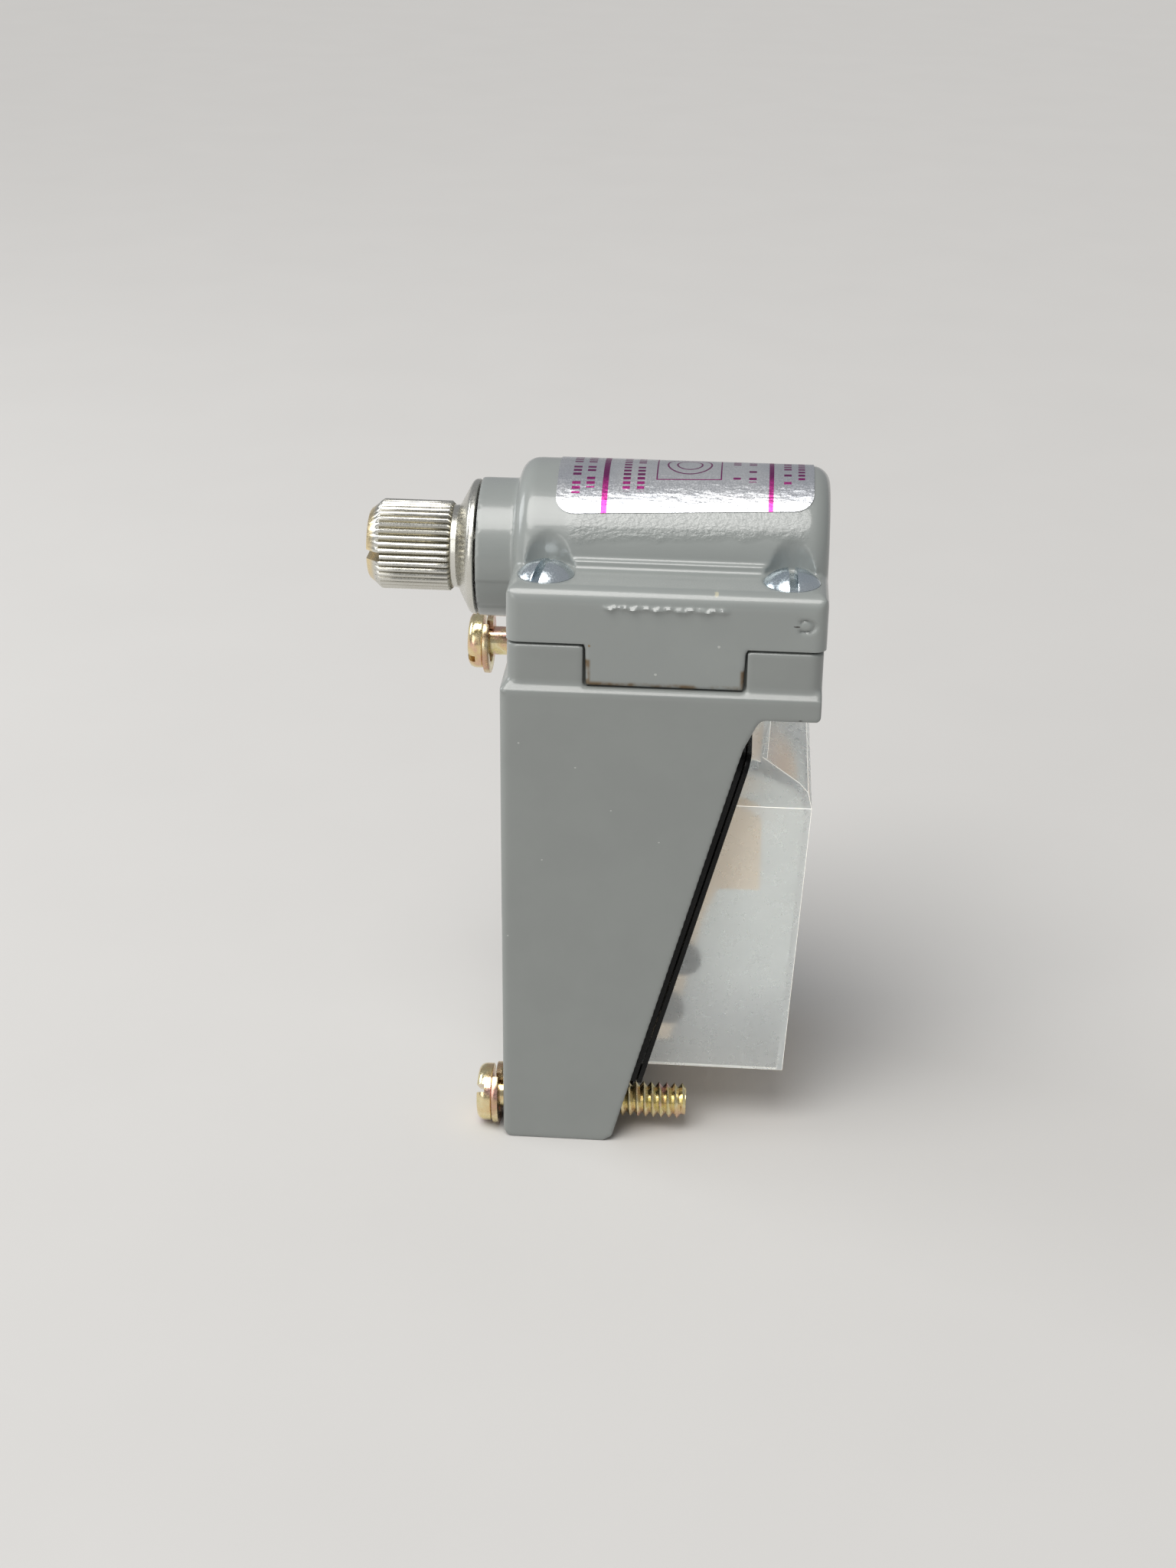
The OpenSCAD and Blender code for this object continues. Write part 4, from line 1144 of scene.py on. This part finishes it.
        bevel.angle_limit = math.radians(40)
        bake(piece)
        install(piece, "head_screws", [PLAIN_FINISHES[Slot.ZINC]])

    def build(self) -> None:
        """Builds every piece of the head."""
        self.casting()
        self.label()
        self.screws()
        dress_node("head_gasket", PLAIN_FINISHES[Slot.GASKET_SHEET])


@dataclass
class ShaftAssembly:
    """The operating shaft and what turns with it or carries it."""

    knurl_radius: float = 5.85 * MM
    dust_radius: float = 8.8 * MM
    journal: float = 3.6 * MM
    end_journal: float = 3.0 * MM
    ridges: int = 40
    ridge_steps: int = 8
    ridge_depth: float = 0.42 * MM
    low: Vector = field(default_factory=lambda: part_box("operating_shaft")[0])
    high: Vector = field(default_factory=lambda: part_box("operating_shaft")[1])
    axis_z: float = field(default_factory=lambda: frame["joints"][0]["pos_m"][2])

    def outline(self) -> list[Point]:
        """The shaft's outline from its tip to its rear end, as radius and Y."""
        tip, k, d = self.low.y, self.knurl_radius, self.dust_radius
        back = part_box("head_housing")[0].y - 0.3 * MM
        neck = back - 2.5 * MM
        band = neck - 0.9 * MM
        step = self.high.y - 2.9 * MM
        front = [(0.0, tip), (k - 1.55 * MM, tip), (k - 1.3 * MM, tip + 0.15 * MM),
                 (k - 0.5 * MM, tip + 1.15 * MM),
                 (k - 0.25 * MM, tip + 1.4 * MM), (k, tip + 1.75 * MM)]
        rows = [(k, tip + 1.75 * MM + (band - tip - 2.1 * MM) * i / 4) for i in range(1, 5)]
        rear = [(k - 0.35 * MM, band), (k - 0.55 * MM, band + 0.1 * MM), (k - 0.45 * MM, neck - 0.15 * MM),
                (k - 0.1 * MM, neck + 0.1 * MM), (k + 0.5 * MM, neck + 0.4 * MM),
                (d - 0.75 * MM, back - 1.2 * MM),
                (d - 0.3 * MM, back - 0.95 * MM), (d - 0.08 * MM, back - 0.72 * MM), (d, back - 0.5 * MM),
                (d, back - 0.12 * MM), (d - 0.1 * MM, back), (self.journal, back), (self.journal, step),
                (self.end_journal, step), (self.end_journal, self.high.y), (0.0, self.high.y)]
        return front + rows + rear

    def serrate(self, places: np.ndarray, normals: np.ndarray) -> np.ndarray:
        """Presses rounded serrations into the band; they fade out at its two ends."""
        moved = places.copy()
        radial = places[:, [0, 2]] - np.array([0.0, self.axis_z])
        reach = np.linalg.norm(radial, axis=1) + 1e-12
        angle = np.arctan2(radial[:, 0], radial[:, 1])
        valley = 1.0 - np.abs(np.cos(angle * self.ridges / 2))
        band = np.clip((reach - self.knurl_radius + 0.4 * MM) / (0.3 * MM), 0, 1)
        band *= places[:, 1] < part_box("head_housing")[0].y - 3.45 * MM
        depth = self.ridge_depth * valley * band
        moved[:, 0] -= radial[:, 0] / reach * depth
        moved[:, 2] -= radial[:, 1] / reach * depth
        return moved

    def shaft(self) -> None:
        """Turns, serrates and slots the shaft."""
        bm = bmesh.new()
        place = Matrix.Translation((0, 0, self.axis_z)) @ ALONG_Y
        lathe(bm, self.outline(), place, self.ridges * self.ridge_steps)
        piece = to_piece(bm, "serrated_shaft")
        sculpt(piece, self.serrate)
        tool = bmesh.new()
        block(tool, (20 * MM, 2 * 1.9 * MM, 1.2 * MM), Matrix.Translation((0, self.low.y, self.axis_z)))
        carve(piece, to_piece(tool, "slot"))
        finish = Turned(
            Slot.PLATED, (0.70, 0.69, 0.64), (0.60, 0.59, 0.54), 1.0, (0.22, 0.34), relief=0.000006,
            warm_end=self.low.y + 0.35 * MM, axis_z=self.axis_z, crest=self.knurl_radius,
            depth=self.ridge_depth, band_end=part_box("head_housing")[0].y - 3.7 * MM,
        )
        install(piece, "operating_shaft", [finish], 28.0)

    def build(self) -> None:
        """Builds the shaft and dresses what is on it."""
        self.shaft()
        looks = {
            Slot.SPRING: ("shaft_clip", "cam_pins", "return_spring"),
            Slot.SINTERED: ("cw_cam", "ccw_cam", "spring_collar"),
            Slot.BRONZE: ("front_bushing", "rear_bushing"),
            Slot.RUBBER: ("shaft_seal",),
        }
        for slot, nodes in looks.items():
            for node in nodes:
                dress_node(node, PLAIN_FINISHES[slot])


@dataclass
class ContactAssembly:
    """The translucent contact housing and the contacts, pins and plungers inside."""

    fold: float = 0.34 * MM

    def housing(self) -> None:
        """Rounds the housing's folds, which get a painted highlight: a bright emissive cream material where light
        leaves the plastic.
        """
        piece = merged_copy("contact_housing", "clear_housing")
        bm = bmesh.new()
        bm.from_mesh(piece.data)
        bpy.data.objects.remove(piece)
        bmesh.ops.dissolve_limit(bm, angle_limit=math.radians(1), verts=bm.verts, edges=bm.edges)
        sharp = [e for e in bm.edges if len(e.link_faces) == 2 and e.calc_face_angle(0.0) > math.radians(30)]
        convex = [e for e in sharp if e.is_convex]
        bmesh.ops.bevel(
            bm, geom=convex, offset=self.fold, offset_type="OFFSET", affect="EDGES", segments=3, profile=0.5,
            material=1, clamp_overlap=True,
        )
        piece = to_piece(bm, "clear_housing")
        install(piece, "contact_housing", [MILKY, MILKY_FOLD_PAINTED_HIGHLIGHT], 40.0)

    def build(self) -> None:
        """Builds the housing and dresses the pieces inside."""
        self.housing()
        looks = {
            Slot.PHENOLIC: ("contact_block",),
            Slot.BRASS: ("closed_contacts", "open_contacts"),
            Slot.COPPER: ("cw_bridge", "ccw_bridge"),
            Slot.DARK_SCREW: ("terminal_screws",),
            Slot.ZINC: ("block_screws",),
            Slot.SPRING: ("cw_plunger_spring", "ccw_plunger_spring"),
            Slot.RED_PLASTIC: ("cw_plunger", "ccw_plunger"),
            Slot.RUBBER: ("plunger_seals",),
            Slot.BLACK_PLASTIC: ("pin_guide",),
        }
        for slot, nodes in looks.items():
            for node in nodes:
                dress_node(node, PLAIN_FINISHES[slot])
        pin = Turned(Slot.PLATED, (0.78, 0.78, 0.78), (0.7, 0.7, 0.7), 1.0, (0.18, 0.3), suffix="_pin")
        for node in ("cw_pin", "ccw_pin"):
            dress_node(node, pin)


@dataclass
class MountingScrews:
    """The two captive screws with real threads, and their split lock washers."""

    head_radius: float = 3.9 * MM
    washer_drop: float = 0.45 * MM
    washer_bore: float = 2.6 * MM
    head_height: float = 2.1 * MM
    crest: float = 2.415 * MM
    root: float = 1.83 * MM
    pitch: float = 1.058 * MM
    shank: float = 2.0 * MM
    slot_width: float = 1.1 * MM

    def thread(self, bm: Mesh, start: float, end: float) -> None:
        """Sweeps one pitch of thread up a helix along Z, and chamfers its end.

        Args:
            bm: The mesh that it is added to.
            start: Where the thread starts.
            end: Where the screw ends.
        """
        steps = 40
        turns = math.ceil((end - start) / self.pitch) + 1
        shape = ((self.root, 0.0), (self.root + 0.04 * MM, 0.08), (self.crest - 0.03 * MM, 0.44),
                 (self.crest, 0.5),
                 (self.crest - 0.03 * MM, 0.56), (self.root + 0.04 * MM, 0.92), (self.root, 1.0))
        chain = [bm.verts.new((radius, 0.0, start + share * self.pitch)) for radius, share in shape]
        edges = [bm.edges.new(pair) for pair in zip(chain, chain[1:])]
        bmesh.ops.spin(
            bm, geom=chain + edges, cent=(0, 0, 0), axis=(0, 0, 1), dvec=(0, 0, self.pitch / steps),
            angle=math.tau * turns, steps=steps * turns, use_merge=False,
        )
        made = [v for v in bm.verts if not v.tag]
        bmesh.ops.remove_doubles(bm, verts=made, dist=2e-6)
        chamfer = 0.55 * MM
        for vert in (v for v in bm.verts if not v.tag):
            vert.co.z = min(vert.co.z, end)
            reach = math.hypot(vert.co.x, vert.co.y)
            limit = self.crest - max(0.0, vert.co.z - (end - chamfer)) * 1.2
            if reach > limit:
                vert.co.x *= limit / reach
                vert.co.y *= limit / reach
            vert.tag = True

    def screw(self, node: str, name: str, slot_angle: float) -> None:
        """Builds one captive screw.

        Args:
            node: Its frame node.
            name: The piece's name.
            slot_angle: How far its slot is turned, in degrees.
        """
        low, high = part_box(node)
        middle = (low + high) / 2
        r, h, y = self.head_radius, self.head_height, low.y
        head = y + h
        threads = high.y - 12.4 * MM
        outline = [(0.0, y), (r - 1.25 * MM, y + 0.02 * MM), (r - 0.62 * MM, y + 0.16 * MM),
                   (r - 0.24 * MM, y + 0.42 * MM), (r - 0.05 * MM, y + 0.82 * MM), (r, y + 1.15 * MM),
                   (r, head - 0.12 * MM), (r - 0.1 * MM, head),
                   (self.shank, head), (self.shank, threads), (self.root, threads + 0.3 * MM),
                   (self.root, high.y - 0.02 * MM), (0.0, high.y - 0.02 * MM)]
        place = Matrix.Translation((middle.x, 0, middle.z)) @ ALONG_Y
        bm = bmesh.new()
        lathe(bm, outline, place, 72)
        piece = to_piece(bm, name)
        tool = bmesh.new()
        turn = Matrix.Rotation(math.radians(slot_angle), 4, "Y")
        slot_place = Matrix.Translation((middle.x, y, middle.z)) @ turn
        block(tool, (12 * MM, 2 * 1.15 * MM, self.slot_width), slot_place)
        carve(piece, to_piece(tool, "slot"))
        bm = bmesh.new()
        self.thread(bm, threads, high.y)
        bmesh.ops.transform(bm, matrix=place, verts=bm.verts)
        bm.from_mesh(piece.data)
        bpy.data.objects.remove(piece)
        install(to_piece(bm, name), node, [CHROMATE], 32.0)

    def washer(self, node: str, name: str) -> None:
        """Coils a split lock washer from a square section.

        Args:
            node: Its frame node.
            name: The piece's name.
        """
        low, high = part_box(node)
        middle = (low + high) / 2
        outer = (high.x - low.x) / 2 - 0.02 * MM
        inner = self.washer_bore
        thick = (high.y - low.y) * 0.62
        rise = (high.y - low.y) - thick
        bm = bmesh.new()
        corners = ((inner, 0.0), (outer, 0.0), (outer, thick), (inner, thick))
        chain = [bm.verts.new((radius, 0.0, height)) for radius, height in corners]
        section = bm.faces.new(chain)
        bmesh.ops.bevel(
            bm, geom=list(section.verts), offset=0.12 * MM, offset_type="OFFSET", affect="VERTICES",
            segments=2, profile=0.5, material=-1,
        )
        steps = 64
        section = list(bm.faces)
        bmesh.ops.spin(
            bm, geom=section + list(bm.edges) + list(bm.verts), cent=(0, 0, 0), axis=(0, 0, 1),
            dvec=(0, 0, rise / steps), angle=math.radians(350), steps=steps, use_merge=False,
        )
        turn = Matrix.Rotation(math.radians(-60), 4, "Y")
        drop = min(self.washer_drop, max(low.z, 0.0))  # a washer beside the base can't hang below it
        bmesh.ops.transform(
            bm, matrix=Matrix.Translation((middle.x, low.y, middle.z - drop)) @ turn @ ALONG_Y,
            verts=bm.verts,
        )
        install(to_piece(bm, name), node, [WASHER_CHROMATE], 40.0)

    def build(self) -> None:
        """Builds both screws and both washers."""
        self.screw("upper_screw", "upper_captive_screw", 24.0)
        self.screw("lower_screw", "lower_captive_screw", -38.0)
        self.washer("upper_lock_washer", "upper_split_washer")
        self.washer("lower_lock_washer", "lower_split_washer")


@dataclass
class Studio:
    """A plain pale floor, soft lights, and the camera."""

    eye: tuple[float, float, float] = (0.2908, 0.0220, 0.1783)
    down: float = math.radians(24.79)
    yaw: float = math.radians(3.89)
    roll: float = math.radians(0.76)
    lens: float = 54.09
    floor_tone: Colour = (0.56, 0.55, 0.535)

    def camera(self) -> None:
        """Points the camera at the switch's right side, a little from above."""
        level = Vector((-math.cos(self.yaw), -math.sin(self.yaw), 0.0))
        forward = math.cos(self.down) * level + Vector((0, 0, -math.sin(self.down)))
        right = forward.cross(Vector((0, 0, 1))).normalized()
        up = right.cross(forward)
        rolled_right = math.cos(self.roll) * right + math.sin(self.roll) * up
        rolled_up = math.cos(self.roll) * up - math.sin(self.roll) * right
        turn = Matrix((rolled_right, rolled_up, -forward)).transposed()
        data = bpy.data.cameras.new("camera")
        data.lens = self.lens
        data.sensor_width = 36.0
        data.clip_start = 0.01
        camera = bpy.data.objects.new("camera", data)
        camera.matrix_world = Matrix.Translation(self.eye) @ turn.to_4x4()
        bpy.context.scene.collection.objects.link(camera)
        bpy.context.scene.camera = camera

    def light(self, name: str, place: Vector, aim: Vector, size: float, power: float, tint: Colour) -> None:
        """Adds a square soft light.

        Args:
            name: Its name.
            place: Where it hangs.
            aim: The point it faces.
            size: Its side.
            power: Its power in watts.
            tint: Its colour.
        """
        data = bpy.data.lights.new(name, "AREA")
        data.size = size
        data.energy = power
        data.color = tint
        lamp = bpy.data.objects.new(name, data)
        lamp.location = place
        lamp.rotation_euler = (aim - place).to_track_quat("-Z", "Y").to_euler()
        bpy.context.scene.collection.objects.link(lamp)

    def sky(self, name: str, way: Vector, spread: float, power: float, tint: Colour) -> None:
        """Adds a broad, even light from far away.

        Args:
            name: Its name.
            way: Direction towards it.
            spread: How wide it looks.
            power: Its strength.
            tint: Its colour.
        """
        data = bpy.data.lights.new(name, "SUN")
        data.angle = spread
        data.energy = power
        data.color = tint
        lamp = bpy.data.objects.new(name, data)
        lamp.rotation_euler = way.to_track_quat("Z", "Y").to_euler()
        bpy.context.scene.collection.objects.link(lamp)

    def floor(self) -> None:
        """Lays the pale floor."""
        bm = bmesh.new()
        bmesh.ops.create_grid(bm, x_segments=1, y_segments=1, size=4.0)
        floor = to_piece(bm, "floor")
        made = bpy.data.materials.new("floor")
        made.use_nodes = True
        sheet = Sheet(made.node_tree)
        shader = made.node_tree.nodes["Principled BSDF"]
        place = sheet.node("ShaderNodeTexCoord").outputs["Object"]
        shade_tone = tuple(0.96 * channel for channel in self.floor_tone)
        tone = sheet.mix(sheet.noise(place, 30.0, 3.0), self.floor_tone, shade_tone)
        sheet.feed(shader.inputs["Base Color"], tone)
        shader.inputs["Roughness"].default_value = 0.7
        floor.data.materials.append(made)

    def build(self) -> None:
        """Sets up the camera, floor, lights and surroundings."""
        self.camera()
        self.floor()
        aim = Vector((0.0, 0.01, 0.05))
        self.sky("ceiling", Vector((0.42, -0.30, 1.0)), math.radians(44), 2.8, (1.0, 0.985, 0.96))
        self.light("front_fill", Vector((0.5, -0.35, 0.25)), aim, 0.35, 0.7, (1.0, 0.99, 0.97))
        self.light("left_edge", Vector((-0.1, -0.5, 0.3)), aim, 0.25, 0.9, (0.96, 0.98, 1.0))
        world = bpy.data.worlds.new("surroundings")
        world.use_nodes = True
        world.node_tree.nodes["Background"].inputs["Color"].default_value = (0.50, 0.51, 0.53, 1.0)
        world.node_tree.nodes["Background"].inputs["Strength"].default_value = 0.62
        scene = bpy.context.scene
        scene.world = world
        scene.view_settings.view_transform = "Standard"


def main() -> None:
    """Builds the studio and every sub-assembly."""
    logging.basicConfig(level=logging.INFO, format="%(name)s: %(message)s")
    parts = (
        Studio(), BodyAssembly(), HeadAssembly(), ShaftAssembly(), ContactAssembly(), MountingScrews(),
    )
    for part in parts:
        part.build()
        LOG.info("%s is built", type(part).__name__)


if __name__ == "__main__":
    main()
